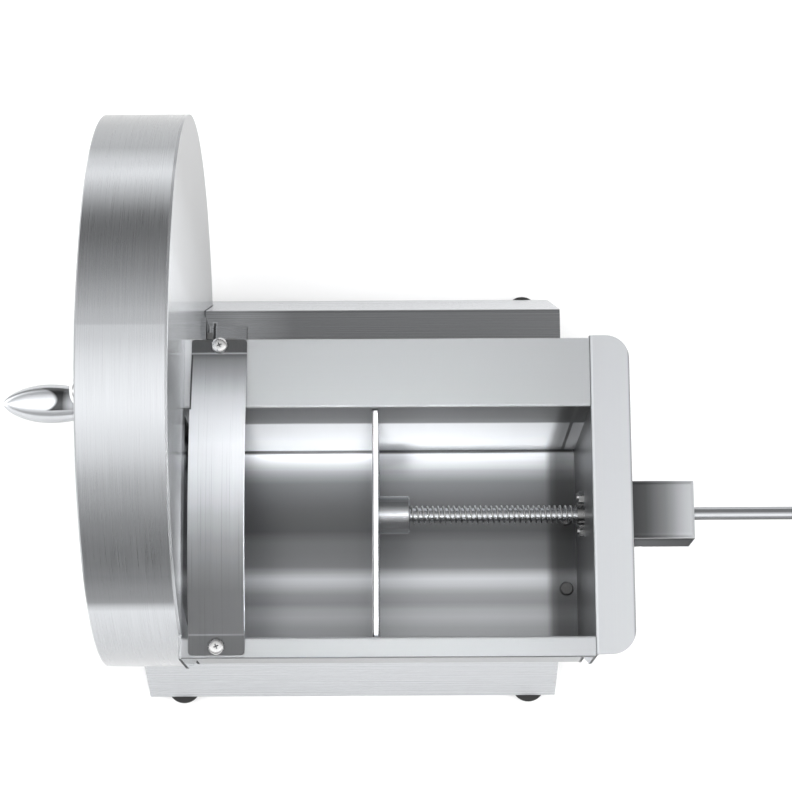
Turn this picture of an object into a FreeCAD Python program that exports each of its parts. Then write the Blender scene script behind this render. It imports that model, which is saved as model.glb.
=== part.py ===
import FreeCAD, Part
import math
import os
from FreeCAD import Vector

# Hand crank vegetable slicer. All sizes are in millimetres.
# Sizes are set out with x = 0 at the face of the back plate that looks into the chute,
# y = 0 on the crank axis and z = 0 at the underside of the feet. Each piece is then moved so
# that the origin lies on the table under the middle of the whole machine.
# x runs along the crank axis towards the pusher knob, y to the rear, z up.

# Drum and crank axis
drum_radius = 151.0
drum_width = 46.0
drum_wall = 1.2
drum_edge_chamfer = 0.8
plate_thickness = 1.5
drum_above_table = 40.0

# Chute, with its inner sizes
chute_length = 214.0
chute_width = 121.0
chute_depth = 121.0
chute_wall = 1.2
chute_bend = 1.6
chute_to_axis = 21.5
rim_above_axis = 54.0
rear_rim = 37.0
front_rim = 11.0
ear_depth = 50.0
ear_taper = 40.0

# End plate
end_flange = 21.0
end_shift = 1.5
end_corner = 12.5

# Stand
stand_sheet = 1.5
stand_bend = 2.0
stand_top_setback = 31.5
stand_top_rear = 62.3
front_leg_splay = 42.0
rear_leg_splay = 35.0
stand_left_reach = 39.0
stand_right_gap = 6.7
stand_flange = 22.0
notch_above_drum = 17.0
plate_gap = 0.6

# Feet
foot_height = 10.0
foot_radius = 10.0
foot_base_radius = 8.5
foot_chamfer = 1.2
foot_from_front = 7.0
foot_from_rear = 8.0
foot_from_left = 20.4
foot_from_right = 15.9
foot_hole_depth = 6.6
scallop_radius = 12.6
scallop_depth = 1.6
foot_screw_radius = 2.0

# Finger guard
guard_width = 29.2
guard_from_plate = 3.6
guard_rise = 14.0
guard_sheet = 1.2
guard_rear_tab = 8.0
guard_front_tab = 12.5
guard_rear_gap = 0.2
guard_front_gap = 1.6
guard_corner = 2.0
guard_screw_radius = 2.0
guard_rear_screw = 3.6
guard_front_screw = 6.0

# Slicing disc and blades
disc_to_drum = 15.0
disc_thickness = 3.0
disc_gap = 3.0
window_margin = 3.0
window_edge = 3.0
blade_count = 3
blade_thickness = 2.0
blade_width = 26.0
blade_to_hub = 11.0
blade_to_rim = 8.0
blade_bulge = 9.0
blade_bevel = 6.0
slot_lead = 12.0
blade_screw_radius = 2.0
blade_screw_inset = 14.0
blade_head_depth = 1.6
grind_turn = 80.0

# Shaft, hub, bearing
shaft_radius = 7.0
shaft_hole_gap = 1.0
hub_flange_radius = 25.0
hub_flange_thickness = 5.0
hub_boss_wall = 6.0
hub_boss_length = 18.0
hub_pin_radius = 2.5
pin_recess = 0.5
disc_screw_count = 3
disc_screw_start = 30.0
disc_screw_circle = 19.0
disc_screw_radius = 2.5
housing_length = 60.0
housing_wall = 7.0
housing_flange_thickness = 5.0
housing_screw_inset = 5.5
housing_screw_count = 3
housing_screw_radius = 2.5
bush_wall = 3.0
bush_length = 14.0
bush_inset = 0.5
collar_wall = 5.0
collar_length = 8.0
shaft_tail = 2.0

# Crank
crank_radius = 100.0
crank_lean = 8.0
crank_gap = 6.0
crank_thickness = 5.0
crank_hub_end = 13.0
crank_grip_end = 10.0
crank_square_cut = 4.0
square_corner_cut = 0.5
crank_thread_radius = 4.0
cap_nut_radius = 9.0
cap_nut_collar = 8.0
cap_nut_dome = 1.9
cap_nut_round = 2.5
washer_thickness = 1.5
washer_radius = 10.0
grip_length = 64.0
grip_radius = 11.5
grip_neck_radius = 7.5
grip_widest = 35.4
grip_fullness = 0.65
grip_nose_bands = 4
grip_neck_bands = 2
grip_wall_at_tip = 16.0
grip_pin_radius = 4.0
grip_pin_head = 6.5
grip_pin_head_height = 2.0
grip_pin_head_round = 1.2
grip_pin_end_gap = 1.0

# Cover clips and the angle on the stand
clip_angles = (-20.0, -48.0, 200.0, 228.0)
clip_width = 16.0
clip_leg = 10.0
clip_sheet = 1.5
clip_bend = 2.0
clip_screw_radius = 2.0
clip_screw_from_plate = 7.0
outlet_half_angle = 32.0
outlet_margin = 3.6
outlet_corner = 3.0
angle_leg = 25.0
angle_sheet = 3.0
angle_bend = 4.0
angle_length = 60.0
angle_rear_inset = 10.0
angle_screw_inset = 12.0
angle_screw_radius = 2.5

# Pusher
pusher_face = 98.8
pusher_thickness = 3.0
pusher_side_gap = 0.6
pusher_top_gap = 2.0
pusher_corner = 3.0
rod_rearward = 13.0
rod_radius = 3.6
rod_depth = 60.5
pusher_hub_radius = 10.4
hub_chamfer = 0.8
pusher_hub_length = 17.0
set_screw_radius = 1.5
plate_screw_head = 5.0
plate_screw_radius = 1.7
plate_screw_depth = 12.0
pusher_to_plate = 3.8
knob_gap = 4.0
knob_radius = 12.0
knob_neck_radius = 6.0
knob_length = 22.0
knob_neck_length = 5.0
knob_bore = 14.0
knob_fullness = 2.5
knob_bands = 4

# Rod guide outside the end plate
bracket_length = 57.3
bracket_margin = 1.4
bracket_height = 32.0
bracket_sheet = 1.5
bracket_round = 2.5
bracket_screw_radius = 1.75
plate_bush_wall = 1.2
plate_bush_rim = 1.0
plate_bush_flange_length = 3.8
plate_bush_tail = 2.0
bracket_bush_wall = 2.6
bracket_bush_length = 10.0
rod_chamfer = 1.0

# Spring round the rod
spring_wire_radius = 0.5
spring_play = 0.35
spring_turns = 31
spring_sides = 5
spring_end_straight = 1.2

# Chute screws
chute_screw_from_end = 6.0
chute_screw_spread = 20.0
chute_screw_radius = 2.0

# Fits
running_gap = 0.05
slip_gap = 0.3
screw_gap = 0.2

# Screws and nuts, as multiples of the thread's radius, and how far a screw's end stands out
pan_width = 2.0
pan_top = 1.6
pan_height = 1.2
hexagon_width = 3.5
bolt_head_height = 1.3
nut_height = 1.6
screw_end = 1.0

# How far a cut runs past what it cuts, and tolerances that pick edges and faces by place
past = 5.0
near = 0.1
mostly = 0.9
tight = 0.001

# Places that follow from the sizes
X_AXIS = Vector(1, 0, 0)
Y_AXIS = Vector(0, 1, 0)
Z_AXIS = Vector(0, 0, 1)
axis_height = drum_above_table + drum_radius
chute_forward = chute_to_axis + chute_width / 2
chute_top = axis_height + rim_above_axis
floor_top = chute_top - chute_depth
stand_top = floor_top - chute_wall
front_inner = -chute_forward - chute_width / 2
rear_inner = -chute_forward + chute_width / 2
front_outer = front_inner - chute_wall
rear_outer = rear_inner + chute_wall
front_edge = front_inner - front_rim
rear_edge = rear_inner + rear_rim
ear_low = chute_top - ear_depth
taper_low = ear_low - ear_taper
end_front = front_edge + end_shift
end_rear = rear_edge + end_shift
end_outer = chute_length + plate_thickness
drum_left = -drum_width
disc_radius = drum_radius - disc_to_drum
blade_inner = hub_flange_radius + blade_to_hub
blade_outer = disc_radius - blade_to_rim
bush_radius = shaft_radius + bush_wall
housing_radius = bush_radius + housing_wall
housing_screw_circle = housing_radius + housing_screw_inset
housing_flange_radius = housing_screw_circle + housing_screw_inset
collar_radius = shaft_radius + collar_wall
hub_boss_radius = shaft_radius + hub_boss_wall
crank_square = 2 * shaft_radius - crank_square_cut
disc_right = -plate_thickness - disc_gap
disc_left = disc_right - disc_thickness
blade_face = disc_right + blade_thickness
hub_left = disc_left - hub_flange_thickness
boss_left = hub_left - hub_boss_length
crank_right = drum_left - crank_gap
crank_left = crank_right - crank_thickness
nut_right = crank_left - washer_thickness
nut_left = nut_right - cap_nut_collar - cap_nut_dome
lean = math.radians(crank_lean)
grip_y = crank_radius * math.sin(lean)
grip_z = axis_height - crank_radius * math.cos(lean)
grip_right = crank_left - slip_gap
grip_left = grip_right - grip_length
rod_y = -chute_forward + rod_rearward
rod_z = chute_top - rod_depth
pusher_forward = pusher_face - pusher_to_plate
pusher_back_face = pusher_face + pusher_thickness
plate_bush_radius = rod_radius + plate_bush_wall
plate_bush_flange = plate_bush_radius + plate_bush_rim
bracket_bush_radius = rod_radius + bracket_bush_wall
bracket_screw_spread = plate_bush_flange + 2 * bracket_screw_radius + screw_gap / 2
bracket_width = 2 * (bracket_screw_spread + 2 * bracket_screw_radius + bracket_margin + bracket_sheet)
spring_radius = rod_radius + spring_play + spring_wire_radius
hub_right = pusher_back_face + pusher_hub_length
bracket_right = end_outer + bracket_length
knob_left = bracket_right + pusher_forward + knob_gap
knob_right = knob_left + knob_length
bush_face = chute_length - plate_bush_flange_length
stand_top_front = -front_inner - stand_top_setback
stand_foot_front = stand_top_front + front_leg_splay
stand_foot_rear = stand_top_rear + rear_leg_splay
stand_notch_height = axis_height - drum_radius + notch_above_drum
stand_left = -stand_left_reach
stand_right = chute_length - stand_right_gap
foot_front_y = -stand_foot_front + foot_from_front
foot_rear_y = stand_foot_rear - foot_from_rear
foot_left_x = stand_left + foot_from_left
foot_right_x = stand_right - foot_from_right
scallop_y = stand_foot_rear + scallop_radius - scallop_depth
guard_left = guard_from_plate
guard_right = guard_left + guard_width
guard_middle = (guard_left + guard_right) / 2
front_limit = min(-drum_radius, front_edge, foot_front_y - foot_radius, -stand_foot_front)
rear_limit = max(drum_radius, foot_rear_y + foot_radius, stand_foot_rear)
origin_x = (grip_left + knob_right) / 2
origin_y = (front_limit + rear_limit) / 2


def x_cylinder(radius, x_from, x_to, y, z):
    """Round bar along x."""
    return Part.makeCylinder(radius, x_to - x_from, Vector(x_from, y, z), X_AXIS)


def z_cylinder(radius, x, y, z_from, z_to):
    """Round bar along z."""
    return Part.makeCylinder(radius, z_to - z_from, Vector(x, y, z_from), Z_AXIS)


def block(x_from, x_to, y_from, y_to, z_from, z_to):
    """Plain block between two corners."""
    corner = Vector(x_from, y_from, z_from)
    return Part.makeBox(x_to - x_from, y_to - y_from, z_to - z_from, corner)


def face_of(points):
    """Flat face inside a closed outline with straight sides."""
    return Part.Face(Part.makePolygon(points + points[:1]))


def turned(profile, y, z):
    """Piece turned about an x line through y, z, from points of x and radius."""
    points = [Vector(x, y, z + radius) for x, radius in profile]
    return face_of(points).revolve(Vector(0, y, z), X_AXIS, 360)


def bent_path(points, bend):
    """Line through the points with each corner rounded to the bend radius."""
    edges = []
    start = points[0]
    for corner, after in zip(points[1:-1], points[2:]):
        back = (start - corner).normalize()
        ahead = (after - corner).normalize()
        half = back.getAngle(ahead) / 2
        first = corner + back * (bend / math.tan(half))
        last = corner + ahead * (bend / math.tan(half))
        middle = corner + (back + ahead).normalize() * (bend / math.sin(half) - bend)
        edges.append(Part.LineSegment(start, first).toShape())
        edges.append(Part.Arc(first, middle, last).toShape())
        start = last
    edges.append(Part.LineSegment(start, points[-1]).toShape())
    return Part.Wire(edges)


def folded_sheet(points, bend, thickness, sweep):
    """Sheet folded along the path; its thickness lies to the right of the path."""
    section = bent_path(points, bend).makeOffset2D(thickness, 0, True, True)
    return section.extrude(sweep)


def around(count, start=0.0):
    """Even angles in degrees round a full turn."""
    return [start + 360.0 * index / count for index in range(count)]


def on_circle(radius, degrees):
    """Point y, z at a radius and angle round the crank axis, from the rear upwards."""
    angle = math.radians(degrees)
    return radius * math.cos(angle), axis_height + radius * math.sin(angle)


def pan_screw(radius, length, seat, direction):
    """Pan head screw: head above the seat, shank going down from it along direction."""
    head = Part.makeCone(
        radius * pan_width, radius * pan_top, radius * pan_height, seat, direction * -1
    )
    shank = Part.makeCylinder(radius, length, seat, direction)
    return head.fuse(shank).removeSplitter()


def hexagon(radius, seat, direction):
    """Flat hexagon of a bolt head or nut for the given thread radius."""
    corner = radius * hexagon_width / math.sqrt(3)
    side = Vector(0, 0, 1) if abs(direction.z) < mostly else Vector(1, 0, 0)
    other = direction.cross(side)
    points = []
    for degrees in around(6):
        angle = math.radians(degrees)
        points.append(seat + side * (corner * math.cos(angle)) + other * (corner * math.sin(angle)))
    return face_of(points)


def hex_bolt(radius, length, seat, direction):
    """Hexagon bolt: head above the seat, shank going down from it along direction."""
    head = hexagon(radius, seat, direction).extrude(direction * radius * -bolt_head_height)
    return head.fuse(Part.makeCylinder(radius, length, seat, direction)).removeSplitter()


def flush_screw(radius, head_radius, length, seat, direction):
    """Countersunk screw whose flat head ends at the seat."""
    head_height = head_radius - radius
    head = Part.makeCone(head_radius, radius, head_height, seat, direction)
    shank = Part.makeCylinder(radius, length, seat, direction)
    return head.fuse(shank).removeSplitter()


def hex_nut(radius, seat, direction):
    """Hexagon nut on a seat, with its hole for a screw of the given radius."""
    height = radius * nut_height
    body = hexagon(radius, seat, direction).extrude(direction * height)
    return body.cut(Part.makeCylinder(radius, height, seat, direction))


def rounded_box(x_from, x_to, y_from, y_to, z_from, z_to, radius, along):
    """Block whose four edges along one axis are rounded."""
    body = block(x_from, x_to, y_from, y_to, z_from, z_to)
    edges = []
    for edge in body.Edges:
        run = edge.Vertexes[1].Point - edge.Vertexes[0].Point
        if abs(run.normalize().dot(along)) > mostly:
            edges.append(edge)
    return body.makeFillet(radius, edges)


def chute_outline(x, outer_front, inner_low):
    """Outline of the plates at the chute's ends, with an ear under the front rim."""
    return [
        Vector(x, outer_front, chute_top),
        Vector(x, outer_front, ear_low),
        Vector(x, front_outer, taper_low),
        Vector(x, front_outer, inner_low),
    ]


def make_stand():
    """Folded stand: flat top, splayed legs, inturned flanges, a notch for the drum, and a shallow
    scallop over each rear foot."""
    corners = [
        (-stand_foot_front + stand_flange, foot_height),
        (-stand_foot_front, foot_height),
        (-stand_top_front, stand_top),
        (stand_top_rear, stand_top),
        (stand_foot_rear, foot_height),
        (stand_foot_rear - stand_flange, foot_height),
    ]
    path = [Vector(stand_left, y, z) for y, z in corners]
    stand = folded_sheet(path, stand_bend, stand_sheet, X_AXIS * (stand_right - stand_left))
    notch = block(
        stand_left - past, plate_gap, -stand_foot_front, stand_foot_rear,
        stand_notch_height, stand_top + past,
    )
    stand = stand.cut(notch)
    for x in (foot_left_x, foot_right_x):
        scallop = z_cylinder(scallop_radius, x, scallop_y, foot_height - past, foot_height + 2 * past)
        stand = stand.cut(scallop)
    for x, y in foot_places().values():
        stand = stand.cut(z_cylinder(foot_screw_radius + screw_gap, x, y, 0, foot_height + past))
    for x, y in chute_screw_places():
        hole = z_cylinder(chute_screw_radius + screw_gap, x, y, stand_top - past, stand_top + past)
        stand = stand.cut(hole)
    for y in angle_screw_ys():
        x = angle_hole_from_plate()
        hole = z_cylinder(angle_screw_radius, x, y, stand_top - past, stand_top + past)
        stand = stand.cut(hole)
    return stand


def foot_places():
    """Place of each foot by its name."""
    return {
        "foot_front_left": (foot_left_x, foot_front_y),
        "foot_front_right": (foot_right_x, foot_front_y),
        "foot_rear_left": (foot_left_x, foot_rear_y),
        "foot_rear_right": (foot_right_x, foot_rear_y),
    }


def make_foot(x, y):
    """Tapered rubber foot with a blind hole for its screw."""
    foot = Part.makeCone(foot_base_radius, foot_radius, foot_height, Vector(x, y, 0), Z_AXIS)
    low = [edge for edge in foot.Edges if edge.BoundBox.ZMax < near]
    foot = foot.makeChamfer(foot_chamfer, low)
    hole = z_cylinder(foot_screw_radius, x, y, foot_height - foot_hole_depth, foot_height)
    return foot.cut(hole)


def make_foot_screws():
    """Screws that hold the feet from inside the stand."""
    depth = stand_sheet + foot_hole_depth
    top = foot_height + stand_sheet
    return [hex_bolt(foot_screw_radius, depth, Vector(x, y, top), Z_AXIS * -1)
            for x, y in foot_places().values()]


def chute_screw_places():
    """Places of the screws in the chute floor."""
    x = chute_length - chute_screw_from_end
    return [(x, -chute_forward - chute_screw_spread), (x, -chute_forward + chute_screw_spread)]


def angle_hole_from_plate():
    """Distance of the angle's floor screws from the back plate."""
    return angle_leg - angle_screw_inset + angle_sheet


def angle_span():
    """Where the angle starts and ends along y."""
    rear = stand_top_rear - angle_rear_inset
    return rear - angle_length, rear


def angle_screw_ys():
    """Places along y of the angle's screws."""
    start, end = angle_span()
    return [start + angle_screw_inset, end - angle_screw_inset]


def feed_window(x_from, x_to):
    """Hole of the back plate: the chute's section where the disc can reach it."""
    section = block(
        x_from, x_to,
        front_inner + window_margin, rear_inner - window_margin,
        floor_top + window_margin, chute_top - window_margin,
    )
    reach = x_cylinder(disc_radius - window_edge, x_from, x_to, 0, axis_height)
    return section.common(reach)


def housing_screw_places():
    """Places y, z of the bearing housing's screws."""
    return [on_circle(housing_screw_circle, degrees) for degrees in around(housing_screw_count)]


def make_back_plate():
    """Round plate with an ear that closes the chute's end, a feed window and the shaft hole."""
    plate = x_cylinder(drum_radius, -plate_thickness, 0, 0, axis_height)
    ear = chute_outline(-plate_thickness, front_edge, stand_top)
    ear.append(Vector(-plate_thickness, 0, stand_top))
    ear.append(Vector(-plate_thickness, 0, chute_top))
    plate = plate.fuse(face_of(ear).extrude(X_AXIS * plate_thickness)).removeSplitter()
    plate = plate.cut(feed_window(-plate_thickness, 0))
    plate = plate.cut(x_cylinder(shaft_radius + shaft_hole_gap, -plate_thickness, 0, 0, axis_height))
    for y, z in housing_screw_places():
        plate = plate.cut(x_cylinder(housing_screw_radius, -plate_thickness, 0, y, z))
    for y in angle_screw_ys():
        z = stand_top + angle_hole_from_plate()
        plate = plate.cut(x_cylinder(angle_screw_radius, -plate_thickness, 0, y, z))
    return plate


def about_axis(shape, degrees):
    """Copy of a shape turned about the crank axis."""
    copy = shape.copy()
    copy.rotate(Vector(0, 0, axis_height), X_AXIS, degrees)
    return copy


def make_drum_cover():
    """Round cup with a broken front edge, a shaft hole and an outlet through its rim."""
    outer = x_cylinder(drum_radius, drum_left, -plate_thickness, 0, axis_height)
    edge = [edge for edge in outer.Edges if edge.BoundBox.XMax < drum_left + near]
    outer = outer.makeChamfer(drum_edge_chamfer, edge)
    inner = x_cylinder(
        drum_radius - drum_wall, drum_left + drum_wall, -plate_thickness, 0, axis_height
    )
    cover = outer.cut(inner)
    cover = cover.cut(x_cylinder(shaft_radius + shaft_hole_gap, drum_left - past, 0, 0, axis_height))
    half_width = drum_radius * math.sin(math.radians(outlet_half_angle))
    outlet = rounded_box(
        drum_left + outlet_margin, -plate_thickness - outlet_margin,
        -half_width, half_width,
        axis_height - drum_radius - past, axis_height - drum_radius / 2,
        outlet_corner, Z_AXIS,
    )
    cover = cover.cut(outlet)
    for degrees in clip_angles:
        hole = Part.makeCylinder(
            clip_screw_radius + screw_gap, 2 * past,
            Vector(-plate_thickness - clip_screw_from_plate, drum_radius - past, axis_height), Y_AXIS
        )
        cover = cover.cut(about_axis(hole, degrees))
    return cover


def make_cover_clips():
    """Bent clips on the back plate that the cover's rim is screwed to."""
    clips = []
    seat = math.sqrt((drum_radius - drum_wall - slip_gap) ** 2 - (clip_width / 2) ** 2)
    path = [
        Vector(-plate_thickness, seat - clip_leg, axis_height - clip_width / 2),
        Vector(-plate_thickness, seat, axis_height - clip_width / 2),
        Vector(-plate_thickness - clip_leg, seat, axis_height - clip_width / 2),
    ]
    section = bent_path(path, clip_bend).makeOffset2D(-clip_sheet, 0, True, True)
    clip = section.extrude(Z_AXIS * clip_width)
    hole = Part.makeCylinder(
        clip_screw_radius, 2 * past,
        Vector(-plate_thickness - clip_screw_from_plate, drum_radius - past, axis_height), Y_AXIS
    )
    clip = clip.cut(hole)
    for degrees in clip_angles:
        clips.append(about_axis(clip, degrees))
    return clips


def make_cover_screws():
    """Screws through the cover's rim into the clips."""
    length = drum_wall + slip_gap + clip_sheet + screw_end
    seat = Vector(-plate_thickness - clip_screw_from_plate, drum_radius, axis_height)
    screw = pan_screw(clip_screw_radius, length, seat, Y_AXIS * -1)
    return [about_axis(screw, degrees) for degrees in clip_angles]


def make_plate_angle():
    """Angle that ties the back plate to the stand's top."""
    start, end = angle_span()
    path = [
        Vector(0, start, stand_top + angle_leg),
        Vector(0, start, stand_top),
        Vector(angle_leg, start, stand_top),
    ]
    section = bent_path(path, angle_bend).makeOffset2D(angle_sheet, 0, True, True)
    angle = section.extrude(Y_AXIS * (end - start))
    for y in angle_screw_ys():
        reach = angle_hole_from_plate()
        angle = angle.cut(z_cylinder(angle_screw_radius, reach, y, stand_top, stand_top + angle_leg))
        angle = angle.cut(x_cylinder(angle_screw_radius, 0, angle_leg, y, stand_top + reach))
    return angle


def make_angle_screws():
    """Screws of the angle into the back plate and into the stand."""
    screws = []
    reach = angle_hole_from_plate()
    for y in angle_screw_ys():
        down = Vector(reach, y, stand_top + angle_sheet)
        length = angle_sheet + stand_sheet + screw_end
        screws.append(hex_bolt(angle_screw_radius, length, down, Z_AXIS * -1))
        left = Vector(angle_sheet, y, stand_top + reach)
        length = angle_sheet + plate_thickness
        screws.append(hex_bolt(angle_screw_radius, length, left, X_AXIS * -1))
    return screws


def make_bearing_housing():
    """Flanged housing of the main shaft, with its flange cut flat beside the chute."""
    profile = [
        (0, bush_radius),
        (0, housing_flange_radius),
        (housing_flange_thickness, housing_flange_radius),
        (housing_flange_thickness, housing_radius),
        (housing_length, housing_radius),
        (housing_length, bush_radius),
    ]
    housing = turned(profile, 0, axis_height)
    flat = block(
        -past, housing_length + past,
        -2 * housing_flange_radius, rear_outer + slip_gap,
        axis_height - 2 * housing_flange_radius, axis_height + 2 * housing_flange_radius,
    )
    housing = housing.cut(flat)
    for y, z in housing_screw_places():
        hole = x_cylinder(housing_screw_radius + screw_gap, 0, housing_flange_thickness, y, z)
        housing = housing.cut(hole)
    return housing


def make_housing_screws():
    """Screws through the housing's flange into the back plate."""
    length = housing_flange_thickness + plate_thickness
    return [
        hex_bolt(housing_screw_radius, length, Vector(housing_flange_thickness, y, z), X_AXIS * -1)
        for y, z in housing_screw_places()
    ]


def make_bush(x_from):
    """Plain bush of the main shaft."""
    outer = x_cylinder(bush_radius, x_from, x_from + bush_length, 0, axis_height)
    bore = x_cylinder(shaft_radius + running_gap, x_from, x_from + bush_length, 0, axis_height)
    return outer.cut(bore)


def collar_left():
    """Where the shaft collar starts, next to the housing."""
    return housing_length + slip_gap


def make_main_shaft():
    """Stepped shaft: round in the bushes, square in the crank, threaded at the cap nut."""
    right = collar_left() + collar_length + shaft_tail
    shaft = x_cylinder(shaft_radius, crank_right, right, 0, axis_height)
    end = right
    edge = [edge for edge in shaft.Edges if edge.BoundBox.XMin > end - near]
    shaft = shaft.makeChamfer(rod_chamfer, edge)
    half = crank_square / 2
    square = block(
        crank_left, crank_right, -half, half, axis_height - half, axis_height + half
    )
    square = about_axis(square, crank_lean)
    round_bar = x_cylinder(shaft_radius - square_corner_cut, crank_left, crank_right, 0, axis_height)
    square = square.common(round_bar)
    thread = x_cylinder(
        crank_thread_radius, nut_left + cap_nut_dome, crank_left, 0, axis_height
    )
    shaft = shaft.fuse([square, thread])
    return shaft.cut(cross_pin(hub_boss_radius))


def cross_pin(half_length):
    """Bar of the cross pin's radius through hub and shaft."""
    middle = (hub_left + boss_left) / 2
    low = axis_height - half_length
    return z_cylinder(hub_pin_radius, middle, 0, low, low + 2 * half_length)


def make_hub_pin():
    """Cross pin that ends just below the hub's surface."""
    return cross_pin(hub_boss_radius - pin_recess)


def make_shaft_collar():
    """Collar that keeps the shaft in its housing, with a set screw hole."""
    start = collar_left()
    end = start + collar_length
    collar = x_cylinder(collar_radius, start, end, 0, axis_height)
    collar = collar.makeChamfer(rod_chamfer, [edge for edge in collar.Edges if len(edge.Vertexes) == 1])
    collar = collar.cut(x_cylinder(shaft_radius, start, end, 0, axis_height))
    hole = z_cylinder(
        set_screw_radius, (start + end) / 2, 0,
        axis_height, axis_height + collar_radius + past
    )
    return collar.cut(hole)


def disc_screw_places():
    """Places y, z of the screws that hold the disc on its hub."""
    return [on_circle(disc_screw_circle, degrees) for degrees in around(disc_screw_count, disc_screw_start)]


def make_disc_hub():
    """Flanged hub behind the slicing disc."""
    profile = [
        (disc_left, shaft_radius),
        (disc_left, hub_flange_radius),
        (hub_left, hub_flange_radius),
        (hub_left, hub_boss_radius),
        (boss_left, hub_boss_radius),
        (boss_left, shaft_radius),
    ]
    hub = turned(profile, 0, axis_height)
    hub = hub.cut(cross_pin(hub_boss_radius + past))
    for y, z in disc_screw_places():
        hub = hub.cut(x_cylinder(disc_screw_radius, hub_left, disc_left, y, z))
    return hub


def make_disc_screws():
    """Flush screws of the disc, entered from the food side."""
    length = disc_thickness + hub_flange_thickness
    head = disc_screw_radius + disc_thickness / 2
    return [
        flush_screw(disc_screw_radius, head, length, Vector(disc_right, y, z), X_AXIS * -1)
        for y, z in disc_screw_places()
    ]


def blade_curve(offset, bulge):
    """Arc from the blade's inner to its outer end, as three points at a side offset."""
    middle = (blade_inner + blade_outer) / 2
    return [
        Vector(0, blade_inner, axis_height + offset),
        Vector(0, middle, axis_height + offset + bulge),
        Vector(0, blade_outer, axis_height + offset),
    ]


def sickle(offset_low, offset_high, x_from, x_to):
    """Curved strip between two like arcs, with straight ends."""
    low = blade_curve(offset_low, blade_bulge)
    high = blade_curve(offset_high, blade_bulge)
    outline = Part.Wire([
        Part.Arc(*low).toShape(),
        Part.LineSegment(low[2], high[2]).toShape(),
        Part.Arc(*high[::-1]).toShape(),
        Part.LineSegment(high[0], low[0]).toShape(),
    ])
    strip = Part.Face(outline).extrude(X_AXIS * (x_to - x_from))
    strip.translate(X_AXIS * x_from)
    return strip


def make_blade(degrees):
    """Sickle blade on the disc's food side, ground from below along its leading edge."""
    blade = sickle(-blade_width, 0, disc_right, blade_face)
    low = blade_curve(0, blade_bulge)
    grind = Part.Face(Part.makePolygon([
        Vector(disc_right, 0, 0),
        Vector(disc_right, 0, -blade_bevel),
        Vector(blade_face, 0, 0),
        Vector(disc_right, 0, 0),
    ]))
    grind.translate(low[1])
    centre = Part.Arc(*low).toShape().Curve.Center
    for turn in (grind_turn, -grind_turn):
        blade = blade.cut(grind.revolve(centre, X_AXIS, turn))
    for seat in blade_screw_seats():
        blade = blade.cut(blade_screw(seat))
    return about_axis(blade, degrees)


def blade_screw_seats():
    """Seats of one blade's two screws, on its food side."""
    z = axis_height - blade_width / 2
    return [
        Vector(blade_face, blade_inner + blade_screw_inset, z),
        Vector(blade_face, blade_outer - blade_screw_inset, z),
    ]


def blade_screw(seat):
    """Flush screw through blade, disc and nut."""
    length = blade_thickness + disc_thickness + blade_screw_radius * nut_height
    head = blade_screw_radius + blade_head_depth
    return flush_screw(blade_screw_radius, head, length, seat, X_AXIS * -1)


def make_blade_screws():
    """All blade screws."""
    return [about_axis(blade_screw(seat), degrees)
            for degrees in around(blade_count) for seat in blade_screw_seats()]


def make_blade_nuts():
    """Nuts of the blade screws, behind the disc."""
    nuts = []
    for degrees in around(blade_count):
        for seat in blade_screw_seats():
            nut = hex_nut(blade_screw_radius, Vector(disc_left, seat.y, seat.z), X_AXIS * -1)
            nuts.append(about_axis(nut, degrees))
    return nuts


def make_blade_disc():
    """Slicing disc with a curved slot in front of each blade."""
    disc = x_cylinder(disc_radius, disc_left, disc_right, 0, axis_height)
    disc = disc.cut(x_cylinder(shaft_radius, disc_left, disc_right, 0, axis_height))
    slot = sickle(-blade_bevel / 2, slot_lead, disc_left, disc_right)
    for degrees in around(blade_count):
        disc = disc.cut(about_axis(slot, degrees))
        for seat in blade_screw_seats():
            disc = disc.cut(about_axis(blade_screw(seat), degrees))
    for screw in make_disc_screws():
        disc = disc.cut(screw)
    return disc


def make_crank_arm():
    """Flat arm with two round ends, tapering to the grip."""
    near = x_cylinder(crank_hub_end, crank_left, crank_right, 0, axis_height)
    far = x_cylinder(crank_grip_end, crank_left, crank_right, 0, axis_height - crank_radius)
    slope = math.asin((crank_hub_end - crank_grip_end) / crank_radius)
    corners = []
    for side in (-1, 1):
        for radius, z in ((crank_hub_end, axis_height), (crank_grip_end, axis_height - crank_radius)):
            y = side * radius * math.cos(slope)
            corners.append(Vector(crank_left, y, z - radius * math.sin(slope)))
    web = face_of([corners[0], corners[1], corners[3], corners[2]])
    arm = web.extrude(X_AXIS * crank_thickness).fuse([near, far]).removeSplitter()
    half = crank_square / 2 + running_gap
    square = block(crank_left, crank_right, -half, half, axis_height - half, axis_height + half)
    arm = arm.cut(square)
    arm = arm.cut(x_cylinder(grip_pin_radius, crank_left, crank_right, 0, axis_height - crank_radius))
    return about_axis(arm, crank_lean)


def make_crank_washer():
    """Washer under the cap nut."""
    washer = x_cylinder(washer_radius, nut_right, crank_left, 0, axis_height)
    return washer.cut(x_cylinder(crank_thread_radius + screw_gap, nut_right, crank_left, 0, axis_height))


def make_crank_nut():
    """Domed cap nut on the shaft's thread."""
    collar = nut_right - cap_nut_collar
    bore_end = nut_left + cap_nut_dome
    profile = [
        (nut_left, 0),
        (nut_left, cap_nut_radius - cap_nut_round),
        (collar, cap_nut_radius),
        (nut_right, cap_nut_radius),
        (nut_right, crank_thread_radius),
        (bore_end, crank_thread_radius),
        (bore_end, 0),
    ]
    return turned(profile, 0, axis_height)


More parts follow.
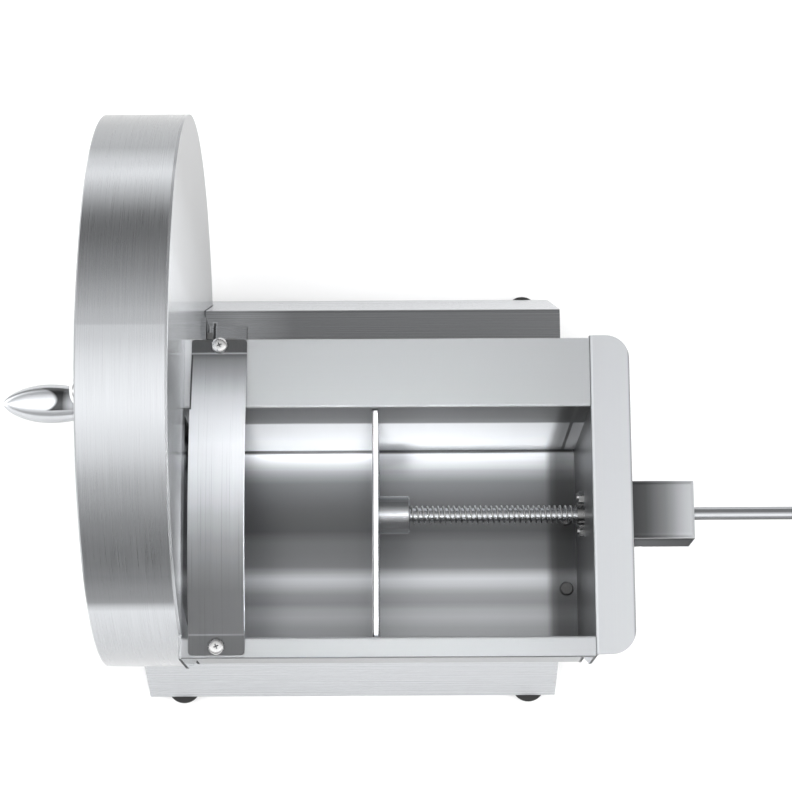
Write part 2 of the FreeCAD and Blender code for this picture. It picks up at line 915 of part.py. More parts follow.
def make_grip_pin():
    """Pin that the grip turns on, riveted into the arm."""
    pin_left = grip_left + grip_wall_at_tip + grip_pin_end_gap
    head_face = crank_right
    pin = x_cylinder(grip_pin_radius, pin_left, head_face, grip_y, grip_z)
    head = x_cylinder(
        grip_pin_head, head_face, head_face + grip_pin_head_height, grip_y, grip_z
    )
    round_edge = [edge for edge in head.Edges if edge.BoundBox.XMin > head_face + near]
    head = head.makeFillet(grip_pin_head_round, round_edge)
    return pin.fuse(head).removeSplitter()


def make_crank_grip():
    """Torpedo shaped grip turned from one bar, with a blind bore for its pin."""
    bore = grip_pin_radius + running_gap
    bore_end = grip_left + grip_wall_at_tip
    swell = grip_radius - grip_neck_radius
    profile = [(bore_end, 0), (bore_end, bore), (grip_right, bore)]
    for band in range(grip_neck_bands):
        share = 1 - band / grip_neck_bands
        radius = grip_radius - swell * (1 - math.cos(math.pi * share)) / 2
        profile.append((grip_right - grip_widest * (1 - share), radius))
    for band in range(grip_nose_bands + 1):
        share = math.sin(math.pi / 2 * band / grip_nose_bands)
        radius = grip_radius * (1 - share ** 2) ** grip_fullness
        profile.append((grip_right - grip_widest - (grip_length - grip_widest) * share, radius))
    return turned(profile, grip_y, grip_z)


def guard_screw_places():
    """Places x, y of the guard's screws in the rims."""
    return [
        (guard_middle, rear_edge - guard_rear_screw),
        (guard_middle, front_edge + guard_front_screw),
    ]


def make_feed_chute():
    """Trough folded from one sheet, with a narrow front rim and a wide rear rim."""
    corners = [
        (front_edge, chute_top),
        (front_inner, chute_top),
        (front_inner, floor_top),
        (rear_inner, floor_top),
        (rear_inner, chute_top),
        (rear_edge, chute_top),
    ]
    path = [Vector(0, y, z) for y, z in corners]
    chute = folded_sheet(path, chute_bend, chute_wall, X_AXIS * chute_length)
    for x, y in guard_screw_places():
        hole = z_cylinder(guard_screw_radius + screw_gap, x, y, chute_top - past, chute_top)
        chute = chute.cut(hole)
    for x, y in chute_screw_places():
        hole = z_cylinder(chute_screw_radius + screw_gap, x, y, stand_top, floor_top + past)
        chute = chute.cut(hole)
    return chute


def make_chute_screws():
    """Screws that hold the chute floor on the stand."""
    length = chute_wall + stand_sheet + chute_screw_radius * nut_height + screw_end
    return [pan_screw(chute_screw_radius, length, Vector(x, y, floor_top), Z_AXIS * -1)
            for x, y in chute_screw_places()]


def make_chute_nuts():
    """Nuts of the chute screws, under the stand's top."""
    return [hex_nut(chute_screw_radius, Vector(x, y, stand_top - stand_sheet), Z_AXIS * -1)
            for x, y in chute_screw_places()]


def make_end_plate():
    """End plate with ears under both rims and a top flange with rounded corners."""
    path = [
        Vector(chute_length, end_front, stand_top),
        Vector(chute_length, end_front, chute_top),
        Vector(chute_length + end_flange, end_front, chute_top),
    ]
    width = end_rear - end_front
    section = bent_path(path, chute_bend).makeOffset2D(-plate_thickness, 0, True, True)
    sheet = section.extrude(Y_AXIS * width)
    outline = chute_outline(chute_length, end_front, stand_top) + [
        Vector(chute_length, rear_outer, stand_top),
        Vector(chute_length, rear_outer, taper_low),
        Vector(chute_length, end_rear, ear_low),
        Vector(chute_length, end_rear, chute_top),
    ]
    plate = sheet.common(face_of(outline).extrude(X_AXIS * (end_flange + past)))
    corners = rounded_box(
        chute_length - 2 * end_corner, chute_length + end_flange,
        end_front, end_rear, stand_top - past, chute_top + past, end_corner, Z_AXIS,
    )
    plate = plate.common(corners)
    bush = x_cylinder(plate_bush_radius, chute_length - past, end_outer + past, rod_y, rod_z)
    plate = plate.cut(bush)
    for y in bracket_screw_ys():
        hole = x_cylinder(bracket_screw_radius + screw_gap, chute_length, end_outer, y, rod_z)
        plate = plate.cut(hole)
    return plate


def make_guard_strap():
    """Arched strap with two flat tabs screwed to the rims."""
    rear_foot = rear_edge - guard_rear_tab
    front_foot = front_edge + guard_front_tab
    front_end = front_edge + guard_front_gap
    rear_end = rear_edge - guard_rear_gap
    low = chute_top
    middle = (rear_foot + front_foot) / 2

    def at(y, z):
        return Vector(guard_left, y, z)

    path = Part.Wire([
        Part.LineSegment(at(front_end, low), at(front_foot, low)).toShape(),
        Part.Arc(at(front_foot, low), at(middle, low + guard_rise), at(rear_foot, low)).toShape(),
        Part.LineSegment(at(rear_foot, low), at(rear_end, low)).toShape(),
    ])
    section = path.makeOffset2D(-guard_sheet, 0, True, True)
    strap = section.extrude(X_AXIS * guard_width)
    outline = rounded_box(
        guard_left, guard_right, front_end, rear_end,
        low - past, low + guard_rise + past, guard_corner, Z_AXIS,
    )
    strap = strap.common(outline)
    for x, y in guard_screw_places():
        strap = strap.cut(z_cylinder(guard_screw_radius + screw_gap, x, y, low - past, low + past))
    return strap


def make_guard_screws():
    """Screws of the guard, from above."""
    length = guard_sheet + chute_wall + guard_screw_radius * nut_height + screw_end
    return [pan_screw(guard_screw_radius, length, Vector(x, y, chute_top + guard_sheet), Z_AXIS * -1)
            for x, y in guard_screw_places()]


def make_guard_nuts():
    """Nuts of the guard screws, under the rims."""
    return [hex_nut(guard_screw_radius, Vector(x, y, chute_top - chute_wall), Z_AXIS * -1)
            for x, y in guard_screw_places()]


def bracket_screw_ys():
    """Places along y of the bracket's screws, on both sides of the rod."""
    return [rod_y - bracket_screw_spread, rod_y + bracket_screw_spread]


def make_guide_bracket():
    """Folded box that guides the rod, open below."""
    y_from = rod_y - bracket_width / 2
    y_to = rod_y + bracket_width / 2
    z_from = rod_z - bracket_height / 2
    z_to = rod_z + bracket_height / 2
    body = block(end_outer, bracket_right, y_from, y_to, z_from, z_to)
    top = [edge for edge in body.Edges if edge.BoundBox.ZMin > z_to - near]
    body = body.makeFillet(bracket_round, top)
    low = [face for face in body.Faces if face.BoundBox.ZMax < z_from + near]
    bracket = body.makeThickness(low, -bracket_sheet, tight)
    bracket = bracket.cut(x_cylinder(plate_bush_radius, end_outer, end_outer + past, rod_y, rod_z))
    bracket = bracket.cut(
        x_cylinder(bracket_bush_radius, bracket_right - past, bracket_right + past, rod_y, rod_z)
    )
    for y in bracket_screw_ys():
        hole = x_cylinder(bracket_screw_radius + screw_gap, end_outer, end_outer + past, y, rod_z)
        bracket = bracket.cut(hole)
    return bracket


def make_bracket_screws():
    """Screws of the bracket, from inside it through the end plate."""
    seat = end_outer + bracket_sheet
    length = bracket_sheet + plate_thickness + bracket_screw_radius * nut_height + screw_end
    return [pan_screw(bracket_screw_radius, length, Vector(seat, y, rod_z), X_AXIS * -1)
            for y in bracket_screw_ys()]


def make_bracket_nuts():
    """Nuts of the bracket screws, inside the chute."""
    return [hex_nut(bracket_screw_radius, Vector(chute_length, y, rod_z), X_AXIS * -1)
            for y in bracket_screw_ys()]


def make_plate_bush():
    """Flanged bush of the rod in the end plate; the spring rests on its flange."""
    end = end_outer + bracket_sheet + plate_bush_tail
    bore = rod_radius + running_gap
    profile = [
        (bush_face, bore),
        (bush_face, plate_bush_flange),
        (chute_length, plate_bush_flange),
        (chute_length, plate_bush_radius),
        (end, plate_bush_radius),
        (end, bore),
    ]
    return turned(profile, rod_y, rod_z)


def make_bracket_bush():
    """Bush of the rod in the bracket's end wall."""
    start = bracket_right - bracket_bush_length
    outer = x_cylinder(bracket_bush_radius, start, bracket_right, rod_y, rod_z)
    return outer.cut(x_cylinder(rod_radius + running_gap, start, bracket_right, rod_y, rod_z))


def plate_screw():
    """Flush screw through the pusher plate into the rod's end."""
    seat = Vector(pusher_face, rod_y, rod_z)
    return flush_screw(plate_screw_radius, plate_screw_head, plate_screw_depth, seat, X_AXIS)


def make_pusher_plate():
    """Plate that pushes the food, clear of the chute's walls, floor and bends."""
    plate = rounded_box(
        pusher_face, pusher_back_face,
        front_inner + pusher_side_gap, rear_inner - pusher_side_gap,
        floor_top + pusher_side_gap, chute_top - pusher_top_gap,
        pusher_corner, X_AXIS,
    )
    return plate.cut(plate_screw())


def set_screw_bar(low, high):
    """Bar of the hub's set screw between two heights above the rod's axis."""
    x = pusher_back_face + pusher_hub_length / 2
    return z_cylinder(set_screw_radius, x, rod_y, rod_z + low, rod_z + high)


def make_hub_set_screw():
    """Set screw in the hub's top side, down on the rod."""
    return set_screw_bar(rod_radius, pusher_hub_radius - pin_recess)


def make_pusher_hub():
    """Turned sleeve between the pusher plate and the spring."""
    hub = x_cylinder(pusher_hub_radius, pusher_back_face, hub_right, rod_y, rod_z)
    outer_edge = [edge for edge in hub.Edges if edge.BoundBox.XMin > hub_right - near]
    hub = hub.makeChamfer(hub_chamfer, outer_edge)
    hub = hub.cut(x_cylinder(rod_radius, pusher_back_face, hub_right, rod_y, rod_z))
    return hub.cut(set_screw_bar(0, pusher_hub_radius + past))


def make_pusher_rod():
    """Rod from the pusher plate through both bushes to the knob."""
    rod = x_cylinder(rod_radius, pusher_back_face, knob_left + knob_bore, rod_y, rod_z)
    return rod.cut(plate_screw())


def tangent_arc(start, corner, end):
    """Arc from start to end whose tangents meet at the corner."""
    middle = (start + end) * 0.5
    half_chord = start.distanceToPoint(middle)
    height = corner.distanceToPoint(middle)
    rise = half_chord * math.tan(math.atan2(height, half_chord) / 2)
    top = middle + (corner - middle) * (rise / height)
    return Part.Arc(start, top, end).toShape()


def biarc(start, start_way, end, end_way):
    """Two arcs that join smoothly, between two points with their directions."""
    chord = end - start
    bend = start_way.dot(end_way) - 1
    along = chord.dot(start_way + end_way)
    reach = (along - math.sqrt(along ** 2 - 2 * bend * chord.dot(chord))) / (2 * bend)
    first_corner = start + start_way * reach
    last_corner = end - end_way * reach
    joint = (first_corner + last_corner) * 0.5
    return [tangent_arc(start, first_corner, joint), tangent_arc(joint, last_corner, end)]


def spring_point(turn):
    """Point and direction of the spring's wire after a number of turns."""
    start = hub_right + slip_gap + spring_wire_radius
    end = bush_face - slip_gap - spring_wire_radius
    pitch = (end - start) / spring_turns
    angle = 2 * math.pi * turn
    point = Vector(
        start + pitch * turn,
        rod_y + spring_radius * math.cos(angle),
        rod_z + spring_radius * math.sin(angle),
    )
    way = Vector(
        pitch / (2 * math.pi),
        -spring_radius * math.sin(angle),
        spring_radius * math.cos(angle),
    )
    return point, way.normalize()


def make_pusher_spring():
    """Compression spring: one unbroken wire on biarcs of half a turn, with straight ends."""
    first, first_way = spring_point(0)
    last, last_way = spring_point(spring_turns)
    edges = [Part.LineSegment(first - first_way * spring_end_straight, first).toShape()]
    for half in range(2 * spring_turns):
        start, start_way = spring_point(half / 2)
        end, end_way = spring_point((half + 1) / 2)
        edges += biarc(start, start_way, end, end_way)
    edges.append(Part.LineSegment(last, last + last_way * spring_end_straight).toShape())
    path = Part.Wire(edges)
    begin = first - first_way * spring_end_straight
    side = first_way.cross(X_AXIS).normalize()
    other = first_way.cross(side)
    corners = []
    for degrees in around(spring_sides):
        angle = math.radians(degrees)
        corners.append(begin + (side * math.cos(angle) + other * math.sin(angle)) * spring_wire_radius)
    ring = Part.makePolygon(corners + corners[:1])
    spring = path.makePipeShell([ring], True, False)
    filled = spring.Volume / path.Length / Part.Face(ring).Area
    print(f"spring: least gap between turns {spring_gap(path):.2f} mm, volume ratio {filled:.4f}")
    return spring


def spring_gap(path):
    """Least gap of the spring's wire to itself, measured on points along it."""
    per_turn = 16
    points = path.discretize(Number=spring_turns * per_turn + 1)
    least = path.Length
    for index, point in enumerate(points):
        for other in points[index + per_turn // 2:index + 2 * per_turn]:
            least = min(least, point.distanceToPoint(other))
    return least - 2 * spring_wire_radius


def make_rod_knob():
    """Turned knob on the outer end of the rod, with a blind bore."""
    bore_end = knob_left + knob_bore
    half = (knob_right - knob_left - knob_neck_length) / 2
    profile = [(knob_left, rod_radius), (knob_left, knob_neck_radius)]
    for band in range(knob_bands + 1):
        share = 2 * band / knob_bands - 1
        radius = knob_radius - (knob_radius - knob_neck_radius) * abs(share) ** knob_fullness
        profile.append((knob_right - half + half * share, radius))
    profile += [(knob_right, 0), (bore_end, 0), (bore_end, rod_radius)]
    return turned(profile, rod_y, rod_z)


def group(shapes):
    """Separate solids of one node."""
    return Part.makeCompound(shapes)


def write(name, shape):
    """Move a piece to the final origin and write it."""
    placed = shape.copy()
    placed.translate(Vector(-origin_x, -origin_y, 0))
    placed.exportStep(os.path.join("parts", name + ".step"))
    solids = len(placed.Solids)
    print(f"{name}: {solids} solid(s), {placed.Volume / 1000:.2f} cm3, valid {placed.isValid()}")


def main():
    os.makedirs("parts", exist_ok=True)
    pieces = {
        "stand": make_stand(),
        "foot_screws": group(make_foot_screws()),
        "back_plate": make_back_plate(),
        "drum_cover": make_drum_cover(),
        "cover_clips": group(make_cover_clips()),
        "cover_screws": group(make_cover_screws()),
        "plate_angle": make_plate_angle(),
        "angle_screws": group(make_angle_screws()),
        "bearing_housing": make_bearing_housing(),
        "housing_screws": group(make_housing_screws()),
        "disc_side_bush": make_bush(bush_inset),
        "collar_side_bush": make_bush(housing_length - bush_length - bush_inset),
        "main_shaft": make_main_shaft(),
        "shaft_collar": make_shaft_collar(),
        "disc_hub": make_disc_hub(),
        "hub_pin": make_hub_pin(),
        "blade_disc": make_blade_disc(),
        "blade_screws": group(make_blade_screws()),
        "blade_nuts": group(make_blade_nuts()),
        "disc_screws": group(make_disc_screws()),
        "crank_arm": make_crank_arm(),
        "crank_washer": make_crank_washer(),
        "crank_nut": make_crank_nut(),
        "grip_pin": make_grip_pin(),
        "crank_grip": make_crank_grip(),
        "feed_chute": make_feed_chute(),
        "chute_screws": group(make_chute_screws()),
        "chute_nuts": group(make_chute_nuts()),
        "end_plate": make_end_plate(),
        "guard_strap": make_guard_strap(),
        "guard_screws": group(make_guard_screws()),
        "guard_nuts": group(make_guard_nuts()),
        "guide_bracket": make_guide_bracket(),
        "bracket_screws": group(make_bracket_screws()),
        "bracket_nuts": group(make_bracket_nuts()),
        "plate_bush": make_plate_bush(),
        "bracket_bush": make_bracket_bush(),
        "pusher_plate": make_pusher_plate(),
        "plate_screw": plate_screw(),
        "pusher_hub": make_pusher_hub(),
        "hub_set_screw": make_hub_set_screw(),
        "pusher_rod": make_pusher_rod(),
        "pusher_spring": make_pusher_spring(),
        "rod_knob": make_rod_knob(),
    }
    for name, (x, y) in foot_places().items():
        pieces[name] = make_foot(x, y)
    for index, degrees in enumerate(around(blade_count)):
        pieces[f"blade_{index + 1}"] = make_blade(degrees)
    for name, shape in pieces.items():
        write(name, shape)


main()
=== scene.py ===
# %% [markdown]
# # Hand cranked slicer: the looks
#
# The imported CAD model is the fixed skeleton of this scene. Each of its nodes sits in the row
# frame in metres: x runs along the crank axis towards the pusher knob, y to the rear and z up.
# This file gives every surface its finish, rebuilds the pieces that need rounder or finer
# shapes than the CAD gives them, and sets up the light and the camera.

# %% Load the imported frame
import math

import bpy
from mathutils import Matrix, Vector


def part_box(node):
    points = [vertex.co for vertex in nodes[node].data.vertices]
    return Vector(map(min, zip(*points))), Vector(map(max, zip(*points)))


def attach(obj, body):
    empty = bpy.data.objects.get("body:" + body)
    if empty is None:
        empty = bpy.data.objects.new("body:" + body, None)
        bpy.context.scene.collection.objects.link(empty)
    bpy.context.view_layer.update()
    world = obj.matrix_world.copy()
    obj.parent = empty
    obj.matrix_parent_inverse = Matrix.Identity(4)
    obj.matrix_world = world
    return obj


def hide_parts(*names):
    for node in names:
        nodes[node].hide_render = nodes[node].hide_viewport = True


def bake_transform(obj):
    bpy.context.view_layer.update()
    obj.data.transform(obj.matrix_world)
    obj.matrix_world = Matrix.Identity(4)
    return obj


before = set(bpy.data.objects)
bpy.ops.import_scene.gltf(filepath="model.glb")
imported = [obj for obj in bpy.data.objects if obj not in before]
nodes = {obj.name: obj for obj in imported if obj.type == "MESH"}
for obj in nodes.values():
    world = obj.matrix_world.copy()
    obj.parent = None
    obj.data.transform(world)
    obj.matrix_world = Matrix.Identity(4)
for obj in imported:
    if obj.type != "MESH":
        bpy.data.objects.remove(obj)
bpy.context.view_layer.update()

print("CAD nodes:", len(nodes))

# %% [markdown]
# ## Camera
#
# The picture looks down on the machine, 78 degrees above the horizon, from a little in front of
# it. The lens is long, so the chute's depth tapers only slightly. A camera looks along its own
# minus z axis, so one turn about x tips it. A small roll about its own line of sight levels the
# rims as the picture has them. Both are Euler angles in the order ZYX, because then the roll is
# made first and the tip after it, and each number can be set by itself.

# %% Place the camera
camera_data = bpy.data.cameras.new("camera")
camera_data.sensor_width = 36.0
camera_data.lens = 109.1
camera = bpy.data.objects.new("camera", camera_data)
camera.location = (-0.02475, -0.2811, 1.4838)
camera_tilt = math.radians(12.2)
camera_roll = math.radians(-0.28)
camera.rotation_mode = "ZYX"
camera.rotation_euler = (camera_tilt, 0.0, camera_roll)
bpy.context.scene.collection.objects.link(camera)
bpy.context.scene.camera = camera
print("camera height:", round(camera.location.z, 4), "lens:", round(camera_data.lens, 1))

# %% [markdown]
# ## Floor
#
# The machine stands on a seamless pale sheet. A plane could be curved up behind the object as a
# studio paper is, but the camera looks down, so a flat one is enough. It is wide, because the
# steel's lower parts mirror it out to its far edge.

# %% Floor
FLOOR_WIDTH = 24.0
FLOOR_GREY = 0.9
bpy.ops.object.select_all(action="DESELECT")
bpy.ops.mesh.primitive_plane_add(size=FLOOR_WIDTH, location=(0.0, 0.0, 0.0))
floor = bpy.context.object
floor.name = "floor"
floor_paint = bpy.data.materials.new("floor_paint")
floor_paint.use_nodes = True
floor_shader = floor_paint.node_tree.nodes["Principled BSDF"]
floor_shader.inputs["Base Color"].default_value = (FLOOR_GREY, FLOOR_GREY, FLOOR_GREY, 1.0)
floor_shader.inputs["Roughness"].default_value = 0.9
floor.data.materials.append(floor_paint)
print("floor width:", FLOOR_WIDTH)

# %% [markdown]
# ## Steps in a node tree
#
# The world's tones and every finish are small trees of nodes, and the same few steps come back in
# all of them: two values put together, a value spread over a range, a grey from a ramp. Each node
# could be placed and linked one by one, but a function for each step keeps the trees readable.


# %% Steps in a node tree
def feed(tree, socket, value):
    """Give an input its value: a link from another socket, or a number or colour."""
    if isinstance(value, (int, float, tuple)):
        socket.default_value = value
    else:
        tree.links.new(value, socket)


def feed_all(tree, node, **values):
    """Feed several inputs of a node by name, with _ for a space."""
    for name, value in values.items():
        feed(tree, node.inputs[name.replace("_", " ")], value)


def combine(tree, operation, first, second, kind="ShaderNodeMath"):
    """Sum, product or the like of two values."""
    node = tree.nodes.new(kind)
    node.operation = operation
    feed(tree, node.inputs[0], first)
    feed(tree, node.inputs[1], second)
    return node.outputs[0]


def parts_of(tree, vector):
    """The x, y and z of a vector."""
    split = tree.nodes.new("ShaderNodeSeparateXYZ")
    tree.links.new(vector, split.inputs[0])
    return split.outputs["X"], split.outputs["Y"], split.outputs["Z"]


def between(tree, value, low, high, start=0.3, end=0.7, smooth=False):
    """A value that goes from start to end, spread over the range from low to high."""
    spread = tree.nodes.new("ShaderNodeMapRange")
    if smooth:
        spread.interpolation_type = "SMOOTHSTEP"
    feed_all(tree, spread, Value=value, From_Min=start, From_Max=end, To_Min=low, To_Max=high)
    return spread.outputs["Result"]


def even(grey):
    """One grey as a colour."""
    return (grey, grey, grey, 1.0)


def ramp_over(tree, place, stops, start, end, easing="LINEAR"):
    """Grey by a place between start and end; each stop is a place and its grey."""
    ramp = tree.nodes.new("ShaderNodeValToRGB")
    ramp.color_ramp.interpolation = easing
    elements = ramp.color_ramp.elements
    while len(elements) > 1:
        elements.remove(elements[0])
    for index, (where, grey) in enumerate(stops):
        share = (where - start) / (end - start)
        stop = elements[0] if index == 0 else elements.new(share)
        stop.position = share
        stop.color = even(grey)
    tree.links.new(between(tree, place, 0.0, 1.0, start, end), ramp.inputs["Fac"])
    return ramp.outputs["Color"]


def in_radians(stops):
    """Stops by angle, from degrees to radians."""
    return [(math.radians(angle), value) for angle, value in stops]


print("steps:", [step.__name__ for step in (combine, parts_of, between, ramp_over)])

# %% [markdown]
# ## World tones
#
# Steel shows what stands round it, so the surroundings matter as much as the lamps. Panels and
# cards could stand round the machine as in a studio, but the drum mirrors them from every side.
# A soft ring of tone round the x axis does the same with one ramp: pale in front, overhead and
# low behind, with a darker band between, which puts the dark band across the drum's rim. Each
# stop is an angle round the x axis, from straight down through the front, the top and the rear,
# and the grey seen in that direction.

# %% World tones
SKY_STRENGTH = 2.05
sky_tones = [
    (-180, 0.60), (-104, 0.60), (-88, 0.14), (-70, 0.23), (-52, 0.42), (-34, 0.80),
    (-18, 0.98), (-4, 0.88), (12, 0.60), (26, 0.38), (40, 0.22), (55, 0.11),
    (64, 0.10), (76, 0.45), (88, 0.88), (104, 0.60), (180, 0.60),
]
world = bpy.data.worlds.new("studio")
bpy.context.scene.world = world
world.use_nodes = True
sky = world.node_tree
_, rearward, upward = parts_of(sky, sky.nodes.new("ShaderNodeTexCoord").outputs["Generated"])
angle_seen = combine(sky, "ARCTAN2", rearward, upward)
sky_grey = ramp_over(sky, angle_seen, in_radians(sky_tones), -math.pi, math.pi, "EASE")
feed_all(sky, sky.nodes["Background"], Color=sky_grey, Strength=SKY_STRENGTH)
print("world tones:", len(sky_tones))

# %% [markdown]
# ## Lamps
#
# One wide softbox overhead gives the even light and the faint shadow round the feet. Two small
# ones with a grid, which is a narrow spread here, reach into the chute and onto the back plate,
# where the wide one is shaded. Point lamps would leave hard spots on the steel. The lamps are
# hidden from mirrors, so the steel shows only the world's tones and its bands stay in place.


# %% Soft lamps
def soft_lamp(name, place, target, size, power, spread=180):
    """Square area lamp at a place, turned to its target. A small spread lights one spot."""
    data = bpy.data.lights.new(name, "AREA")
    data.size = size
    data.spread = math.radians(spread)
    data.energy = power
    lamp = bpy.data.objects.new(name, data)
    lamp.location = place
    aim = Vector(target) - Vector(place)
    lamp.rotation_euler = aim.to_track_quat("-Z", "Y").to_euler()
    lamp.visible_glossy = False
    bpy.context.scene.collection.objects.link(lamp)
    return lamp


lamps = [
    soft_lamp("top_lamp", (0.1, -0.15, 2.7), (0.0, 0.0, 0.0), 3.2, 60.0),
    soft_lamp("chute_lamp", (-0.03, -0.82, 1.12), (-0.03, -0.03, 0.18), 0.2, 0.34, 16),
    soft_lamp("plate_lamp", (0.55, -0.12, 0.70), (-0.136, -0.085, 0.27), 0.1, 0.07, 11),
]
bpy.context.scene.view_settings.view_transform = "Standard"
print("lamps:", [lamp.name for lamp in lamps])

# %% [markdown]
# ## Tools for the finishes
#
# A finish is a material whose shader takes its inputs from a tree of the same steps. An image of
# real brushed steel could be mapped on instead, but nodes in object coordinates need no
# unwrapping and stay sharp from any distance. Stainless steel has a faint blue cast in daylight,
# so one step at the end of each tree gives all the steels the same one. Every finish goes into
# one list, from which the pieces take theirs.

# %% Tools for the finishes
finishes = {}
BLUE_CAST = (0.975, 1.0, 1.035, 1.0)


def combine_vectors(tree, operation, first, second):
    """The same for two vectors, such as their difference or cross product."""
    return combine(tree, operation, first, second, "ShaderNodeVectorMath")


def blend_colours(tree, factor, first, second, how="MIX"):
    """Mix of two colours by a factor."""
    mix = tree.nodes.new("ShaderNodeMix")
    mix.data_type = "RGBA"
    mix.blend_type = how
    feed_all(tree, mix, Factor=factor, A=first, B=second)
    return mix.outputs["Result"]


def new_finish(name):
    """Tree of a new finish, and the coordinates of the surface in the row frame."""
    finishes[name] = bpy.data.materials.new(name)
    finishes[name].use_nodes = True
    tree = finishes[name].node_tree
    return tree, tree.nodes.new("ShaderNodeTexCoord").outputs["Object"]


def feed_shader(tree, **values):
    """Feed the inputs of a finish's shader."""
    feed_all(tree, tree.nodes["Principled BSDF"], **values)


def cooled(tree, colour):
    """The colour with the faint blue cast that stainless steel has in daylight."""
    return blend_colours(tree, 1.0, colour, BLUE_CAST, "MULTIPLY")


print("blue cast:", BLUE_CAST[:3])

# %% [markdown]
# ## Grain
#
# Sheet steel is brushed in one direction at the mill. Under a lens the grain is thousands of
# fine scratches, so the surface mirrors sharply along one way and blurs across it. The scratches
# could be cut as real grooves, but they are finer than a pixel, so a noise stretched hard along
# the grain stands for them. The shader's tangent tells it which way to blur.


# %% Grain of the steel
def grain_noise(tree, vector, scale, detail=3.0):
    """Noise on coordinates that are stretched by a scale for each axis."""
    mapping = tree.nodes.new("ShaderNodeMapping")
    feed_all(tree, mapping, Vector=vector, Scale=scale)
    noise = tree.nodes.new("ShaderNodeTexNoise")
    feed_all(tree, noise, Vector=mapping.outputs["Vector"], Scale=1.0, Detail=detail, Roughness=0.6)
    return noise.outputs["Fac"]


def bump_from(tree, value, height, strength):
    """Bump normal from a height pattern, in metres."""
    bump = tree.nodes.new("ShaderNodeBump")
    feed_all(tree, bump, Height=value, Distance=height, Strength=strength)
    return bump.outputs["Normal"]


def across_grain(tree, grain):
    """Direction in the surface at right angles to the grain, which is where brushed steel blurs."""
    turned = tree.nodes.new("ShaderNodeVectorTransform")
    turned.vector_type = "VECTOR"
    turned.convert_from = "OBJECT"
    turned.convert_to = "WORLD"
    feed(tree, turned.inputs[0], grain)
    normal = tree.nodes.new("ShaderNodeNewGeometry").outputs["Normal"]
    return combine_vectors(tree, "CROSS_PRODUCT", turned.outputs[0], normal)


def around_axis(tree, vector, centre):
    """Coordinates x and angle round the line through the centre along x, and the way round it.
    The angle is 0 straight up and grows towards the rear."""
    off = combine_vectors(tree, "SUBTRACT", vector, centre)
    x, y, z = parts_of(tree, off)
    joined = tree.nodes.new("ShaderNodeCombineXYZ")
    feed_all(tree, joined, X=x, Y=combine(tree, "ARCTAN2", y, z))
    return joined.outputs["Vector"], combine_vectors(tree, "CROSS_PRODUCT", WAYS["x"], off)


WAYS = {"x": (1.0, 0.0, 0.0), "y": (0.0, 1.0, 0.0), "z": (0.0, 0.0, 1.0)}
FINE = 1800.0
LONG = 14.0
GRAIN_DEPTH = 0.00001
GRAIN_STRETCH = 0.7
print("grain:", FINE, "lines in a metre across,", LONG, "along")

# %% [markdown]
# ## Brushed steel
#
# The drum's rim, the arm and the turned pieces are brushed or turned with an even grain. The
# noise feeds three things: a small change in colour, a change in roughness and a shallow bump,
# and a second, wide noise adds the faint clouds that handling leaves. On the drum the grain runs
# round the crank axis. The bands that its rim shows could be left to the world alone, but here
# they are painted reflections: a ramp by angle sets them in the colour where the picture has
# them, and they stay there when the piece is seen alone.


# %% Brushed steel finishes
def brushed(name, grey, along, roughness=(0.24, 0.34), centre=None, tones=None):
    """Brushed steel with its grain along x, y or z, or round the crank axis. Tones are stops of
    angle and share of the grey, painted reflections for a drum whose rim shows its surroundings
    in bands."""
    tree, coordinates = new_finish(name)
    scale = {
        "x": (LONG, FINE, FINE),
        "y": (FINE, LONG, FINE),
        "z": (FINE, FINE, LONG),
        "around": (FINE, 3.0, FINE),
    }[along]
    cloud = grain_noise(tree, coordinates, (18.0, 18.0, 18.0), 2.0)
    if along == "around":
        coordinates, way = around_axis(tree, coordinates, centre)
    else:
        way = WAYS[along]
    lines = grain_noise(tree, coordinates, scale)
    colour = blend_colours(tree, between(tree, lines, 0.0, 1.0), even(grey * 0.86), even(grey))
    # Painted reflections: the tones darken and lighten the colour in bands by angle.
    if tones:
        _, angle, _ = parts_of(tree, coordinates)
        band = ramp_over(tree, angle, tones, -math.pi, math.pi)
        colour = blend_colours(tree, 1.0, colour, band, "MULTIPLY")
    rough = combine(tree, "ADD", between(tree, lines, *roughness), between(tree, cloud, -0.02, 0.03))
    feed_shader(
        tree, Base_Color=cooled(tree, colour), Roughness=rough,
        Normal=bump_from(tree, lines, GRAIN_DEPTH, 0.3), Tangent=across_grain(tree, way),
        Anisotropic=GRAIN_STRETCH, Metallic=1.0,
    )


CRANK_AXIS = (0.0, 0.0025, 0.191)
STEEL = 0.48
# Painted reflections on the drum's rim: shares of the grey by angle round the crank axis.
rim_painted_reflections = in_radians([
    (-180, 1.0), (-84, 0.70), (-73, 0.86), (-66, 1.02), (-60, 1.16), (-57.5, 0.46), (-51, 0.48),
    (-46, 0.92), (-40, 1.0), (36, 1.1), (39, 1.1), (43.5, 0.69), (52, 0.60), (66, 0.30),
    (90, 0.5), (130, 1.0),
])
brushed("drum_steel", STEEL, "around", centre=CRANK_AXIS, tones=rim_painted_reflections)
brushed("clip_steel", 0.5, "x")
# Dark steel is the crank arm's own colour, and painted shade in the screw sockets.
brushed("dark_steel_and_socket_shade", 0.16, "z")
brushed("sickle_steel", STEEL, "y", (0.10, 0.18))
brushed("shaft_steel", STEEL, "around", (0.15, 0.25), centre=CRANK_AXIS)
# The blade disc's grey is darkened as painted shade, for the shadow it lies in.
brushed("disc_steel_painted_shade", 0.13, "y", (0.12, 0.2))
print("brushed finishes:", sorted(finishes))
